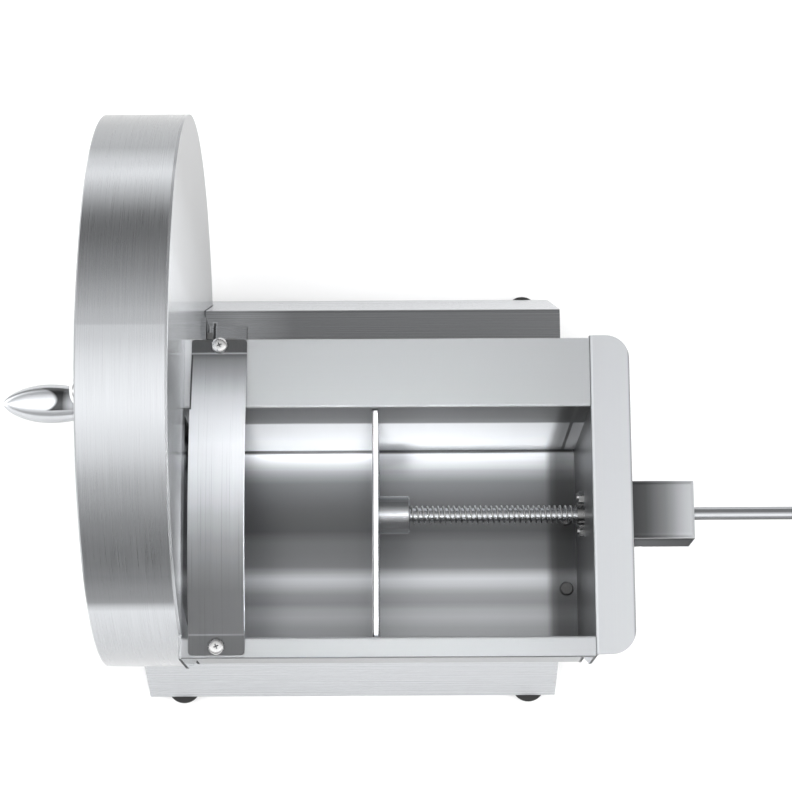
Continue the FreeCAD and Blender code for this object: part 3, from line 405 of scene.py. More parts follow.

# %% [markdown]
# ## Steel with painted reflections in bands
#
# The chute, the guard strap, the stand and the rod's bracket are polished sheet. Each is folded
# or arched, so its flats and curves show dark and bright bands of the room, and the sheet's
# grain drags those bands into fine streaks. Mirroring alone could give them, if every wall of
# the room were built. Here they are painted reflections: a ramp over the surface lays the bands
# into the sheet's own colour, and the grain's noise shifts the ramp a little, which gives the
# streaks. Masks, which are 1 where a limit holds and 0 elsewhere, keep a tone to its own part of
# the sheet.


# %% Banded steel finish
def above(tree, value, limit):
    """1 where a value lies above a limit."""
    return combine(tree, "GREATER_THAN", value, limit)


def below(tree, value, limit):
    """1 where a value lies below a limit."""
    return combine(tree, "LESS_THAN", value, limit)


def near(tree, value, line, reach):
    """1 where a value lies within reach of a line."""
    off = combine(tree, "ABSOLUTE", combine(tree, "SUBTRACT", value, line), 0.0)
    return below(tree, off, reach)


def every(tree, *limits):
    """1 where all of the limits hold."""
    result = limits[0]
    for limit in limits[1:]:
        result = combine(tree, "MULTIPLY", result, limit)
    return result


def either(tree, *limits):
    """1 where any of the limits holds."""
    result = limits[0]
    for limit in limits[1:]:
        result = combine(tree, "MAXIMUM", result, limit)
    return result


def banded(name, along, bands, metallic=0.5, roughness=(0.22, 0.34), fleck=(0.96, 1.02), depth=0.000004):
    """Steel whose grey, with its painted reflections, comes from a function of its coordinates;
    grain along x or y, or along an arch over y and z."""
    tree, coordinates = new_finish(name)
    fine = 2 * FINE
    wide_fine = fine * 0.08
    scale = {"x": (4.0, fine, fine), "y": (fine, 4.0, fine), "arch": (fine, 4.0, 4.0)}[along]
    lines = grain_noise(tree, coordinates, scale)
    wide_scale = tuple(wide_fine if part == fine else part for part in scale)
    wide = grain_noise(tree, coordinates, wide_scale, 2.0)
    streak = combine(tree, "SUBTRACT", wide, 0.5)
    grey = bands(tree, *parts_of(tree, coordinates), streak)
    grey = combine_vectors(tree, "MULTIPLY", grey, between(tree, lines, *fleck))
    way = WAYS["x" if along == "x" else "y"]
    feed_shader(
        tree, Base_Color=cooled(tree, grey), Roughness=between(tree, lines, *roughness),
        Normal=bump_from(tree, lines, depth, 0.12), Tangent=across_grain(tree, way),
        Anisotropic=GRAIN_STRETCH, Metallic=metallic,
    )


def streaked(tree, place, streak, reach):
    """A place that the grain shifts by up to about half the reach, in metres."""
    return combine(tree, "ADD", place, combine(tree, "MULTIPLY", streak, reach))


SMOOTH = {"fleck": (0.985, 1.01), "depth": 0.0000004}
print("smooth sheet has flecks of", SMOOTH["fleck"])

# %% [markdown]
# ## Guard strap
#
# The strap's two tabs lie flat and show the dark of the ceiling. Its arch turns through the
# light, so it goes from dark at the rear to bright past the middle and dark again in front. The
# tones could be left to the arch's own mirror, but its curve is so flat that one lamp moved a
# little would change all of it, so a ramp from front to rear holds them as painted reflections,
# with a painted highlight at each tab's bend. The long edges are cut, not rolled: the right one
# gets a painted highlight and the left one painted shade.

# %% Guard strap finish
GUARD_LEFT = -0.1318
GUARD_RIGHT = -0.1036
ARCH_FRONT = -0.138
ARCH_REAR = 0.008
ARCH_FADE = 0.012
# Painted reflections along the strap, with a painted highlight at each tab's bend.
guard_painted_reflections = [
    (-0.1505, 0.062), (-0.1394, 0.062), (-0.1390, 0.15), (-0.1384, 0.056), (-0.117, 0.056),
    (-0.104, 0.082), (-0.0915, 0.12), (-0.0787, 0.196), (-0.066, 0.31), (-0.0532, 0.425),
    (-0.0404, 0.515), (-0.0277, 0.50), (-0.0149, 0.445), (-0.0021, 0.28), (0.0062, 0.20),
    (0.0098, 0.09), (0.0101, 0.33), (0.0105, 0.042),
]


def guard_painted_bands(tree, x, y, z, streak):
    """Painted reflections in bands over the arch from front to rear, streaked along it but not on
    the tabs; a painted highlight on the right edge and painted shade on the left.
    """
    on_arch = every(
        tree,
        between(tree, y, 0.0, 1.0, ARCH_FRONT, ARCH_FRONT + ARCH_FADE),
        between(tree, y, 0.0, 1.0, ARCH_REAR, ARCH_REAR - ARCH_FADE),
    )
    shift = every(tree, combine(tree, "MULTIPLY", streak, 0.0065), on_arch)
    grey = ramp_over(tree, combine(tree, "ADD", y, shift), guard_painted_reflections, -0.16, 0.02)
    # Painted highlight along the right cut edge, painted shade along the left one.
    painted_edge_highlight = every(
        tree, above(tree, x, GUARD_RIGHT), below(tree, y, -0.03), above(tree, y, ARCH_FRONT + 0.001)
    )
    grey = blend_colours(tree, painted_edge_highlight, grey, even(0.9))
    painted_edge_shade = every(tree, below(tree, x, GUARD_LEFT), above(tree, y, -0.022), below(tree, y, 0.0095))
    return blend_colours(tree, painted_edge_shade, grey, even(0.04))


banded(
    "guard_steel", "arch", guard_painted_bands, 0.5, (0.27, 0.30), fleck=(0.965, 1.02), depth=0.0000015
)
print("guard strap tones:", len(guard_painted_reflections))

# %% [markdown]
# ## Feed chute
#
# The trough's rear wall and floor mirror each other and the room: a dark band under the rear
# rim, a bright wall, a sharp bright line at the fold, then a dark floor with one bright streak.
# These are painted reflections in the sheet's colour. Wall and floor could each have a ramp of
# their own. One coordinate that runs down the wall and on across the floor does it with a single
# ramp, and no seam can show at the fold. Near the end plate everything is painted darker, as the
# floor's reflection of the plate. The rims are plain, a little lighter towards the end plate,
# with painted light beside the guard strap's left edge, and the front rim's edge has a painted
# shadow line.

# %% Feed chute finish
CHUTE_REAR = -0.019
CHUTE_FLOOR = 0.124
CHUTE_TOP = 0.245
CHUTE_LEFT = -0.136
CHUTE_RIGHT = 0.078
WALL_SEAM = 0.0708
# Limits of the painted shadow line on the front rim's edge.
RIM_EDGE_SHADE_REAR = -0.1504
RIM_EDGE_SHADE_LOW = 0.2438
# Painted reflections down the wall and across the floor, with a dark line at the fold.
chute_painted_reflections = [
    (-0.121, 0.10), (-0.094, 0.14), (-0.080, 0.20), (-0.076, 0.80), (-0.060, 0.86), (-0.030, 1.0),
    (-0.002, 1.0), (-0.0012, 0.10), (0.0012, 0.10), (0.002, 0.9), (0.006, 0.55), (0.0118, 0.255),
    (0.0188, 0.122), (0.033, 0.095), (0.0468, 0.080), (0.0537, 0.155), (0.0606, 0.17),
    (0.0675, 0.20), (0.070, 0.36), (0.0740, 0.66), (0.0775, 0.56), (0.083, 0.33), (0.0882, 0.29),
    (0.092, 0.40), (0.0965, 0.46), (0.1019, 0.36), (0.121, 0.32),
]
end_plate_painted_reflection = [
    (-0.03, 1.0), (0.04, 1.0), (0.058, 1.05), (0.0605, 1.0), (0.064, 0.38), (0.0672, 0.24),
    (0.0705, 0.26), (0.078, 0.36),
]
# Dark tone of the wall's seam line, and of the painted shadow on the front rim's edge.
SEAM_AND_RIM_EDGE_SHADE = even(0.06)


def chute_rims(tree, x, y):
    """Plain rims and outside: lighter to the right, with painted light beside the guard strap's left
    edge.
    """
    rightward = between(tree, x, 0.0, 1.0, CHUTE_LEFT, CHUTE_RIGHT)
    grey = blend_colours(tree, rightward, even(0.19), even(0.26))
    grey = blend_colours(tree, above(tree, y, -0.03), grey, even(0.215))
    # Painted light on the rear rim beside the guard strap's left edge.
    painted_light_beside_guard = every(tree, below(tree, x, -0.1328), above(tree, y, CHUTE_REAR - 0.0005))
    return blend_colours(tree, painted_light_beside_guard, grey, even(0.36))


def chute_painted_bands(tree, x, y, z, streak):
    """Painted reflections in bands down the rear wall and across the floor; the rims and the outside
    stay plain, and the front rim's edge gets a painted shadow line.
    """
    across = combine(tree, "SUBTRACT", CHUTE_REAR, y)
    up = combine(tree, "SUBTRACT", z, CHUTE_FLOOR)
    place = streaked(tree, combine(tree, "SUBTRACT", across, up), streak, 0.0022)
    grey = ramp_over(tree, place, chute_painted_reflections, -0.122, 0.122)
    # Painted darkening near the end plate: the floor's reflection of it.
    grey = blend_colours(tree, 1.0, grey, ramp_over(tree, x, end_plate_painted_reflection, -0.04, 0.079), "MULTIPLY")
    seam = every(tree, near(tree, x, WALL_SEAM, 0.0009), above(tree, up, 0.001))
    grey = blend_colours(tree, seam, grey, SEAM_AND_RIM_EDGE_SHADE)
    outside = either(
        tree,
        above(tree, z, CHUTE_TOP - 0.0008),
        below(tree, y, CHUTE_REAR - 0.1216),
        above(tree, y, CHUTE_REAR + 0.0006),
        below(tree, z, CHUTE_FLOOR - 0.0006),
    )
    grey = blend_colours(tree, outside, grey, chute_rims(tree, x, y))
    # Painted shadow line on the front rim's edge.
    painted_rim_edge_shade = every(tree, below(tree, y, RIM_EDGE_SHADE_REAR), above(tree, z, RIM_EDGE_SHADE_LOW))
    return blend_colours(tree, painted_rim_edge_shade, grey, SEAM_AND_RIM_EDGE_SHADE)


banded("chute_steel", "x", chute_painted_bands, 0.2, (0.28, 0.30), **SMOOTH)
print("feed chute tones:", len(chute_painted_reflections))

# %% [markdown]
# ## Stand
#
# The stand's top is polished and shows the dark ceiling, while its sloping legs show the pale
# table. One even steel would need the room to give both, so both are painted reflections in its
# colour, and a mask by height parts them just under the top; the top is also painted darker to
# the right as shade behind the chute. The rear leg is a shade lighter than the front one. At its
# left end the top has a narrow slot with a bright sheared edge, beside the fold of the plate's
# angle. The slot could be cut in the sheet, but only its dark line and its edge are seen, so the
# finish carries it: painted shade in the slot and a painted highlight on its edge.

# %% Stand finish
STAND_TOP = 0.1228
SLOT_LINE = -0.1300
SLOT_REAR = 0.0574


def with_painted_slot(tree, x, y, grey):
    """Painted slot beside the fold of the plate's angle: painted shade as a dark line and a painted
    highlight on its sheared edge.
    """
    front = above(tree, y, SLOT_REAR - 0.03)
    # First the painted highlight of the sheared edge, then the painted shade in the slot.
    for reach, rear, tone in ((0.0014, SLOT_REAR + 0.0008, 0.36), (0.0007, SLOT_REAR, 0.05)):
        inside = every(tree, near(tree, x, SLOT_LINE, reach), below(tree, y, rear), front)
        grey = blend_colours(tree, inside, grey, even(tone))
    return grey


def stand_painted_bands(tree, x, y, z, streak):
    """Painted reflections: dark top, pale legs."""
    on_top = between(tree, z, 0.0, 1.0, STAND_TOP - 0.003, STAND_TOP - 0.001)
    # Painted reflection of the ceiling on the top, painted darker to the right as shade.
    top = between(tree, streaked(tree, x, streak, 0.01), 0.23, 0.12, -0.115, -0.085)
    legs = blend_colours(tree, above(tree, y, 0.02), even(0.455), even(0.51))
    return blend_colours(tree, on_top, legs, with_painted_slot(tree, x, y, top))


banded("stand_steel", "x", stand_painted_bands)
print("stand finish:", finishes["stand_steel"].name)

# %% [markdown]
# ## End plate
#
# The end plate closes the trough, and its flange is bent outwards at the top. The flange is
# bright, its sheared edge darker, and the inner face repeats the chute's dark end as a painted
# reflection. The plate's bend is tighter than a lamp can show, so a ramp across it paints the
# bright line of the fold as a painted highlight; the front edge gets a painted highlight too.

# %% End plate finish
FRONT_EDGE = -0.1411
PLATE_INNER = 0.07775
# Painted reflection on the inner face, painted highlight on the fold, then the flange and its darker
# edge.
end_painted_stops = [
    (-0.001, 0.12), (0.0002, 0.12), (0.0006, 0.42), (0.0013, 0.42), (0.0018, 0.34), (0.0198, 0.36),
    (0.0206, 0.2), (0.0215, 0.2),
]


def end_plate_painted_bands(tree, x, y, z, streak):
    """Painted highlights on the fold and the front edge, bright flange, and a painted reflection
    that darkens the inner face.
    """
    outwards = combine(tree, "SUBTRACT", x, PLATE_INNER)
    grey = ramp_over(tree, streaked(tree, outwards, streak, 0.0005), end_painted_stops, -0.002, 0.022)
    # Painted highlight on the plate's front edge.
    front = every(tree, below(tree, y, FRONT_EDGE), below(tree, z, 0.242))
    return blend_colours(tree, front, grey, even(1.0))


banded("end_steel", "y", end_plate_painted_bands, 0.5, (0.275, 0.29), **SMOOTH)
print("end plate tones:", len(end_painted_stops))

# %% [markdown]
# ## Rod bracket
#
# The bracket that guides the rod is folded from thicker sheet. Its top goes from dark beside the
# end plate to bright at its outer end, and its sides are lighter and fade downwards. The dark is
# the flange's image, which a plain steel would show only from one side, so a ramp paints it as a
# painted reflection, and the sides' lighter tones are painted light.

# %% Rod bracket finish
BRACKET_TOP = 0.1985
BRACKET_FRONT = -0.0818
# Painted reflection of the flange on the bracket's top.
bracket_painted_reflections = [
    (0.079, 0.02), (0.099, 0.022), (0.110, 0.047), (0.121, 0.135), (0.131, 0.31), (0.1365, 0.38),
]


def bracket_painted_bands(tree, x, y, z, streak):
    """Painted reflection from dark beside the end plate to bright at the outer end; the sides below
    get painted light.
    """
    grey = ramp_over(tree, streaked(tree, x, streak, 0.0015), bracket_painted_reflections, 0.078, 0.137)
    # Painted light on the front face, lightest low down and darker at the top.
    down = ramp_over(tree, z, [(0.168, 1.0), (0.190, 0.9), (BRACKET_TOP, 0.4)], 0.167, 0.199)
    sides = blend_colours(tree, below(tree, y, BRACKET_FRONT), even(0.34), down)
    return blend_colours(tree, below(tree, z, BRACKET_TOP), grey, sides)


banded("bracket_steel", "y", bracket_painted_bands, 0.5, (0.275, 0.285), **SMOOTH)
print("rod bracket tones:", len(bracket_painted_reflections))

# %% [markdown]
# ## Plate angle
#
# The angle ties the back plate to the stand's top. It is bent from thicker bar, and its free leg
# lies flat on the stand, so it shows the same dark ceiling as the stand does, as a painted
# reflection. It gets the same painted slot as the stand's top, so that the dark line runs on
# over both.

# %% Plate angle finish
# Painted reflection of the ceiling, darker towards the free edge.
angle_painted_reflections = [
    (-0.136, 0.26), (-0.1325, 0.28), (-0.126, 0.28), (-0.119, 0.25), (-0.1165, 0.22),
    (-0.1115, 0.20),
]


def angle_painted_bands(tree, x, y, z, streak):
    """Painted reflection, darker towards its free edge, with the painted slot beside its fold."""
    return with_painted_slot(tree, x, y, ramp_over(tree, x, angle_painted_reflections, -0.137, -0.111))


banded("angle_steel", "x", angle_painted_bands, 1.0, (0.24, 0.34))
print("plate angle tones:", len(angle_painted_reflections))

# %% [markdown]
# ## Back plate
#
# The round plate mirrors the table behind the machine and the chute beside it, and these are
# painted reflections in its colour. Above the chute its face is lighter than at the rear, because
# the chute's pale rims stand close to it, and there it is painted darker higher up. Its edge is
# painted a darker grey. The ear at the front, beside the chute's corner, is a bright cut edge, a
# painted highlight. A mirror finish alone would do for one view, but the plate is large and flat,
# so it would flash white or black in the others.

# %% Back plate finish
# Painted reflections of the table and the chute, from front to rear.
plate_painted_reflections = [
    (-0.152, 0.5), (-0.125, 0.48), (-0.115, 0.78), (-0.104, 1.0), (-0.09, 1.0), (-0.075, 0.95),
    (-0.05, 0.56), (-0.02, 0.92), (0.0, 1.0), (0.02, 1.0), (0.04, 0.9), (0.05, 0.70), (0.10, 0.28),
    (0.154, 0.22),
]
painted_height_shade = [(0.24, 1.0), (0.262, 1.0), (0.275, 0.65), (0.30, 0.22), (0.342, 0.2)]


def plate_painted_bands(tree, x, y, z, streak):
    """Painted reflections: lighter beside the chute, darker behind it, with a painted highlight on
    the ear.
    """
    grey = ramp_over(tree, streaked(tree, y, streak, 0.004), plate_painted_reflections, -0.16, 0.16)
    # Painted shade higher up, on the face above the chute.
    high = ramp_over(tree, z, painted_height_shade, 0.24, 0.345)
    front = between(tree, y, 0.0, 1.0, 0.002, -0.025)
    grey = blend_colours(tree, front, grey, blend_colours(tree, 1.0, grey, high, "MULTIPLY"))
    # The plate's edge is painted a darker grey.
    grey = blend_colours(tree, below(tree, x, -0.1364), grey, even(0.28))
    # Painted highlight on the ear's cut edge.
    painted_ear_highlight = every(tree, below(tree, y, FRONT_EDGE), below(tree, z, CHUTE_TOP - 0.0005))
    return blend_colours(tree, painted_ear_highlight, grey, even(1.0))


banded("plate_steel", "y", plate_painted_bands, 0.6, (0.14, 0.22))
feed_shader(finishes["plate_steel"].node_tree, Specular_Tint=even(0.7))
print("back plate tones:", len(plate_painted_reflections))

# %% [markdown]
# ## Pusher plate
#
# Seen from above only the plate's edge shows. It was sheared, so one side of the edge is smooth,
# and the other side, where the sheet broke off, is rough. The edge could be modelled as two
# strips, but it is 3 mm wide, so two tones across it say the same: a painted highlight on the
# smooth side and a line of painted shade on the rough side.

# %% Pusher plate finish
# Painted shade and painted highlight across the plate's edge.
pusher_painted_edge = [
    (-0.0375, 0.40), (-0.03735, 0.40), (-0.0373, 0.09), (-0.03665, 0.09), (-0.0365, 0.95),
    (-0.0346, 0.95), (-0.03455, 0.40), (-0.0344, 0.40),
]


def pusher_painted_bands(tree, x, y, z, streak):
    """Painted highlight and painted shade across the thickness of the plate's edge; the faces are
    even.
    """
    return ramp_over(tree, x, pusher_painted_edge, -0.0376, -0.0343)


banded("pusher_steel", "y", pusher_painted_bands, 0.4)
print("pusher plate tones:", len(pusher_painted_edge))

# %% [markdown]
# ## Polished round pieces
#
# The grip, the pusher's hub and the rod are turned and then polished, and the grip and the rod
# are chromed. A round bar mirrors the whole room in a few narrow lines along its length. Plain
# chrome would give lines too, but where the lamps put them, so the lines are painted reflections,
# set in the colour by the angle round the bar's own line: 0 is straight up and positive angles lie
# to the rear. Next to the crank the grip also mirrors the dark arm, and that is a painted
# reflection too: a soft dark patch on its upper side.


# %% Polished bar finishes
def polished_bar(name, centre, tones, metallic, roughness=(0.1, 0.16), patch=None):
    """Polish on a piece that is round about a line along x, with painted reflections by angle round
    it.
    """
    tree, coordinates = new_finish(name)
    mottle = grain_noise(tree, coordinates, (90.0, 90.0, 90.0))
    turned, _ = around_axis(tree, coordinates, centre)
    x, angle, _ = parts_of(tree, turned)
    grey = ramp_over(tree, angle, in_radians(tones), -math.pi, math.pi)
    if patch:
        grey = patch(tree, x, angle, grey)
    grey = blend_colours(tree, between(tree, mottle, 0.0, 0.12), grey, even(0.3))
    rough = between(tree, mottle, *roughness)
    feed_shader(tree, Base_Color=cooled(tree, grey), Roughness=rough, Metallic=metallic)


def painted_arm_reflection(tree, x, angle, grey):
    """Painted reflection: dark image of the crank arm on the grip's upper side, next to the arm."""
    # Painted reflection of the dark arm, faded away from it.
    bend = combine(tree, "MULTIPLY", combine(tree, "POWER", angle, 2.0), 0.016)
    reach = between(tree, combine(tree, "ADD", x, bend), 0.0, 1.0, -0.2262, -0.2232, smooth=True)
    off_middle = combine(tree, "ABSOLUTE", combine(tree, "SUBTRACT", angle, 0.1), 0.0)
    side = between(tree, off_middle, 0.0, 1.0, 0.70, 0.64, smooth=True)
    fade = between(tree, x, 1.0, 0.45, -0.2210, -0.2160)
    return blend_colours(tree, every(tree, reach, side, fade), grey, even(0.05))


ROD_LINE = (0.0, -0.0665, 0.1845)
GRIP_CENTRE = (0.0, 0.01642, 0.09197)
# Painted reflections round each bar, by angle.
grip_painted_reflections = [
    (-180, 0.6), (-90, 0.5), (-40, 0.6), (-26, 0.95), (14, 0.95), (28, 0.7), (36, 0.12), (41, 0.15),
    (46, 0.5), (90, 0.45), (180, 0.6),
]
hub_painted_reflections = [
    (-180, 0.25), (-68, 0.17), (-59, 0.125), (-47, 0.15), (-36, 0.12), (-29, 0.07), (-22, 0.135),
    (-15.4, 0.26), (-10, 0.52), (-6, 0.52), (-2, 0.42), (4.7, 0.26), (11.5, 0.2), (18.5, 0.16),
    (25.5, 0.17), (32, 0.12), (40, 0.075), (48, 0.087), (57, 0.15), (67, 0.24), (180, 0.3),
]
rod_painted_reflections = [
    (-180, 0.3), (-85, 0.07), (-66, 0.08), (-53, 0.2), (-42.5, 0.6), (-33, 0.9), (-24, 0.62),
    (-15.4, 0.34), (-7, 0.22), (2, 0.14), (11, 0.2), (20.5, 0.33), (31, 0.46), (45, 0.3), (66, 0.3),
    (180, 0.3),
]
polished_bar("grip_chrome", GRIP_CENTRE, grip_painted_reflections, 0.7, (0.12, 0.18), painted_arm_reflection)
polished_bar("hub_steel", ROD_LINE, hub_painted_reflections, 0.75, (0.16, 0.22))
polished_bar("rod_chrome", ROD_LINE, rod_painted_reflections, 0.85, (0.08, 0.14))
print("polished bars: grip_chrome, hub_steel, rod_chrome")

# %% [markdown]
# ## Small pieces
#
# Screws, nuts and bushes are bought in, blanked or turned in thousands, and their finish is even
# apart from a fine mottle. Rubber is moulded and matt, and the housing is cast and rougher. Each
# could have its own tree, but one with a colour, a roughness and a depth serves them all. The
# screws in the chute's floor and on the stand lie in shade, so theirs are darker: painted shade.


# %% Small pieces' finishes
def plain_finish(name, colour, metallic, roughness, scale=400.0, depth=0.00002):
    """Even finish with a fine mottle in colour, roughness and height."""
    tree, coordinates = new_finish(name)
    speckle = grain_noise(tree, coordinates, (scale, scale, scale))
    dark = tuple(part * 0.85 for part in colour)
    tone = blend_colours(tree, between(tree, speckle, 0.0, 1.0), (*dark, 1.0), (*colour, 1.0))
    feed_shader(
        tree, Base_Color=tone, Roughness=between(tree, speckle, *roughness),
        Normal=bump_from(tree, speckle, depth, 0.2), Metallic=metallic,
    )


small_finishes = {
    "chrome": ((0.86, 0.86, 0.87), 1.0, (0.05, 0.09), 60.0, 0.000002),
    "screw_steel": ((0.6, 0.6, 0.6), 1.0, (0.2, 0.32)),
    "spring_steel": ((0.5, 0.5, 0.5), 1.0, (0.24, 0.36)),
    "bush_steel": ((0.28, 0.28, 0.28), 1.0, (0.2, 0.3)),
    # Painted shade: the screws in the chute's floor and on the stand get darker finishes.
    "floor_screw_painted_shade": ((0.10, 0.10, 0.10), 0.3, (0.3, 0.4)),
    "shaded_screw_steel": ((0.22, 0.22, 0.22), 1.0, (0.3, 0.4)),
    "cast_alloy": ((0.62, 0.62, 0.61), 1.0, (0.45, 0.6), 900.0, 0.00005),
    "bronze": ((0.6, 0.42, 0.2), 1.0, (0.3, 0.42)),
    "rubber": ((0.02, 0.02, 0.02), 0.0, (0.6, 0.75), 1500.0, 0.00004),
}
for name, values in small_finishes.items():
    plain_finish(name, *values)
print("small pieces' finishes:", sorted(small_finishes))

# %% [markdown]
# ## Which piece has which finish
#
# Each CAD node takes one finish in its material slot, also where a Blender piece replaces it
# below, so that the CAD model can be looked at alone. The table reads as a shop's list: the
# finish first, then the pieces that come out of that process.

# %% Give each CAD node its finish
finish_of = {
    "drum_steel": ["drum_cover"],
    "stand_steel": ["stand"],
    "angle_steel": ["plate_angle"],
    "clip_steel": ["cover_clips"],
    "guard_steel": ["guard_strap"],
    "end_steel": ["end_plate"],
    "bracket_steel": ["guide_bracket"],
    "dark_steel_and_socket_shade": ["crank_arm"],
    "plate_steel": ["back_plate"],
    "chute_steel": ["feed_chute"],
    "pusher_steel": ["pusher_plate"],
    "disc_steel_painted_shade": ["blade_disc"],
    "sickle_steel": ["blade_1", "blade_2", "blade_3"],
    "shaft_steel": [
        "main_shaft", "shaft_collar", "disc_hub", "crank_washer", "crank_nut", "grip_pin", "hub_pin",
    ],
    "grip_chrome": ["crank_grip"],
    "chrome": ["rod_knob"],
    "rod_chrome": ["pusher_rod"],
    "hub_steel": ["pusher_hub", "hub_set_screw"],
    "screw_steel": [
        "foot_screws", "cover_screws", "housing_screws", "chute_nuts", "guard_screws", "guard_nuts",
        "bracket_screws", "bracket_nuts", "plate_screw", "blade_screws", "blade_nuts", "disc_screws",
    ],
    "spring_steel": ["pusher_spring"],
    "cast_alloy": ["bearing_housing"],
    "bush_steel": ["plate_bush", "bracket_bush"],
    "floor_screw_painted_shade": ["chute_screws"],
    "shaded_screw_steel": ["angle_screws"],
    "bronze": ["disc_side_bush", "collar_side_bush"],
    "rubber": ["foot_front_left", "foot_front_right", "foot_rear_left", "foot_rear_right"],
}
for finish, names in finish_of.items():
    for name in names:
        slots = nodes[name].data.materials
        slots.clear()
        slots.append(finishes[finish])
print("nodes finished:", sum(len(names) for names in finish_of.values()))

# %% [markdown]
# ## Turned pieces
#
# The crank grip, the rod's knob, the nuts' domes and the rubber feet are round about one line.
# They could be spun from a profile. Here each starts as one disc and is drawn out ring by ring:
# extrude, then scale the new ring about the line. That is how one would do it by hand, and the
# rings can be as close as the curve needs.


# %% Draw out a round piece
def edit_all():
    """Go into edit mode with the whole piece selected."""
    bpy.ops.object.mode_set(mode="EDIT")
    bpy.ops.mesh.select_all(action="SELECT")


def leave_edit():
    """Turn all faces outwards and leave edit mode."""
    bpy.ops.mesh.select_all(action="SELECT")
    bpy.ops.mesh.normals_make_consistent(inside=False)
    bpy.ops.object.mode_set(mode="OBJECT")


def first_disc(name, sides, radius, place, along):
    """New piece that is one disc facing along x or z, all selected in edit mode."""
    bpy.ops.object.select_all(action="DESELECT")
    turned = (0.0, math.pi / 2 if along == "x" else 0.0, 0.0)
    bpy.ops.mesh.primitive_circle_add(
        vertices=sides, radius=radius, fill_type="NGON", location=place, rotation=turned
    )
    piece = bpy.context.object
    piece.name = piece.data.name = name
    bpy.ops.object.transform_apply(location=True, rotation=True, scale=True)
    edit_all()
    return piece


def drawn_out(name, rings, centre, along, sides=64):
    """Round piece along x or z. Each ring is a place along that line and a radius."""
    way = Vector(WAYS[along])
    start, first_radius = rings[0]
    piece = first_disc(name, sides, first_radius, Vector(centre) + way * start, along)
    for (place, radius), (next_place, next_radius) in zip(rings, rings[1:]):
        share = next_radius / radius
        grow = (1.0, share, share) if along == "x" else (share, share, 1.0)
        bpy.ops.mesh.extrude_region_move(TRANSFORM_OT_translate={"value": way * (next_place - place)})
        bpy.ops.transform.resize(value=grow, center_override=Vector(centre) + way * next_place)
    bpy.ops.mesh.select_all(action="SELECT")
    bpy.ops.mesh.remove_doubles(threshold=0.000001)
    leave_edit()
    bpy.ops.object.shade_smooth_by_angle(angle=CREASE)
    return piece


CREASE = math.radians(32)
print("edges stay sharp above", round(math.degrees(CREASE)), "degrees")

# %% [markdown]
# ## Crank grip
#
# The grip is a polished torpedo: a blunt nose, its widest place a little past the middle, and a
# waist towards the crank. Its end is bored for the pin that it turns on. It could be spun from
# two arcs, but those meet in a crease. Here the nose is a rounded curve and the waist half a
# cosine, so the two meet smoothly at the widest ring. Like the other turned pieces, the grip then
# gets its finish, rides with its body and takes the place of its CAD node. A closed piece has no
# open edges, which the printed line shows.


# %% Crank grip
def open_edges(piece):
    """How many edges don't have a face on both sides; a closed piece has none."""
    counts = {}
    for face in piece.data.polygons:
        for key in face.edge_keys:
            counts[key] = counts.get(key, 0) + 1
    return sum(1 for count in counts.values() if count != 2)


def stand_in(piece, finish, body, *replaced):
    """Give a finished piece its finish, its body and the nodes it stands for."""
    piece.data.materials.append(finishes[finish])
    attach(piece, body)
    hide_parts(*replaced)
    print(piece.name, len(piece.data.polygons), "faces, open edges:", open_edges(piece))


GRIP_TIP = -0.25755
GRIP_END = -0.19355
GRIP_WIDE = 0.0115
GRIP_WAIST = 0.0075
GRIP_WAIST_LENGTH = 0.0354
PIN_BORE = 0.00405
NOSE_RINGS = 28
WAIST_RINGS = 16
grip_widest = GRIP_END - GRIP_WAIST_LENGTH
grip_rings = []
for band in range(NOSE_RINGS + 1):
    lift = math.cos(math.pi / 2 * band / NOSE_RINGS)
    fullness = max(1 - lift ** 2, 0.0004)
    grip_rings.append((grip_widest - (grip_widest - GRIP_TIP) * lift, GRIP_WIDE * fullness ** 0.65))
for band in range(1, WAIST_RINGS + 1):
    part = band / WAIST_RINGS
    radius = GRIP_WIDE - (GRIP_WIDE - GRIP_WAIST) * (1 - math.cos(math.pi * part)) / 2
    grip_rings.append((grip_widest + GRIP_WAIST_LENGTH * part - 0.0004, radius))
grip_rings += [(GRIP_END, GRIP_WAIST - 0.0004), (GRIP_END, PIN_BORE), (GRIP_TIP + 0.016, PIN_BORE)]
grip = drawn_out("grip_torpedo", grip_rings, GRIP_CENTRE, "x", 72)
stand_in(grip, "grip_chrome", "grip", "crank_grip")

# %% [markdown]
# ## Rod knob
#
# The knob on the rod's outer end is outside the picture. A plain ball would be quicker, but a
# pull needs a flat end and a neck that fingers can hook behind, so it is drawn as a full round
# knob with a short neck, bored for the rod and in the same chrome.

# %% Rod knob
KNOB_START = 0.23555
KNOB_END = 0.25755
KNOB_HALF = 0.0085
KNOB_RADIUS = 0.012
KNOB_RINGS = 24
ROD_BORE = 0.0036
knob_middle = KNOB_END - KNOB_HALF
knob_rings = [
    (KNOB_START + 0.014, ROD_BORE), (KNOB_START, ROD_BORE), (KNOB_START, 0.0056),
    (KNOB_START + 0.0004, 0.006),
]
for band in range(KNOB_RINGS + 1):
    share = 2 * band / KNOB_RINGS - 1
    radius = KNOB_RADIUS - KNOB_RADIUS / 2 * abs(share) ** 2.5
    knob_rings.append((knob_middle + KNOB_HALF * share, radius))
knob_rings.append((KNOB_END, 0.004))
knob = drawn_out("round_knob", knob_rings, ROD_LINE, "x", 64)
stand_in(knob, "chrome", "pusher", "rod_knob")

# %% [markdown]
# ## Cap nut
#
# The crank is held by a domed cap nut: a hexagon with rounded corners below a polished dome. It
# could be cut from one bar by Booleans, as a lathe and a mill would make it. Two plain forms
# joined in one mesh do as well: a six sided disc drawn out and bevelled along its outer edges,
# and the dome drawn out on its face.


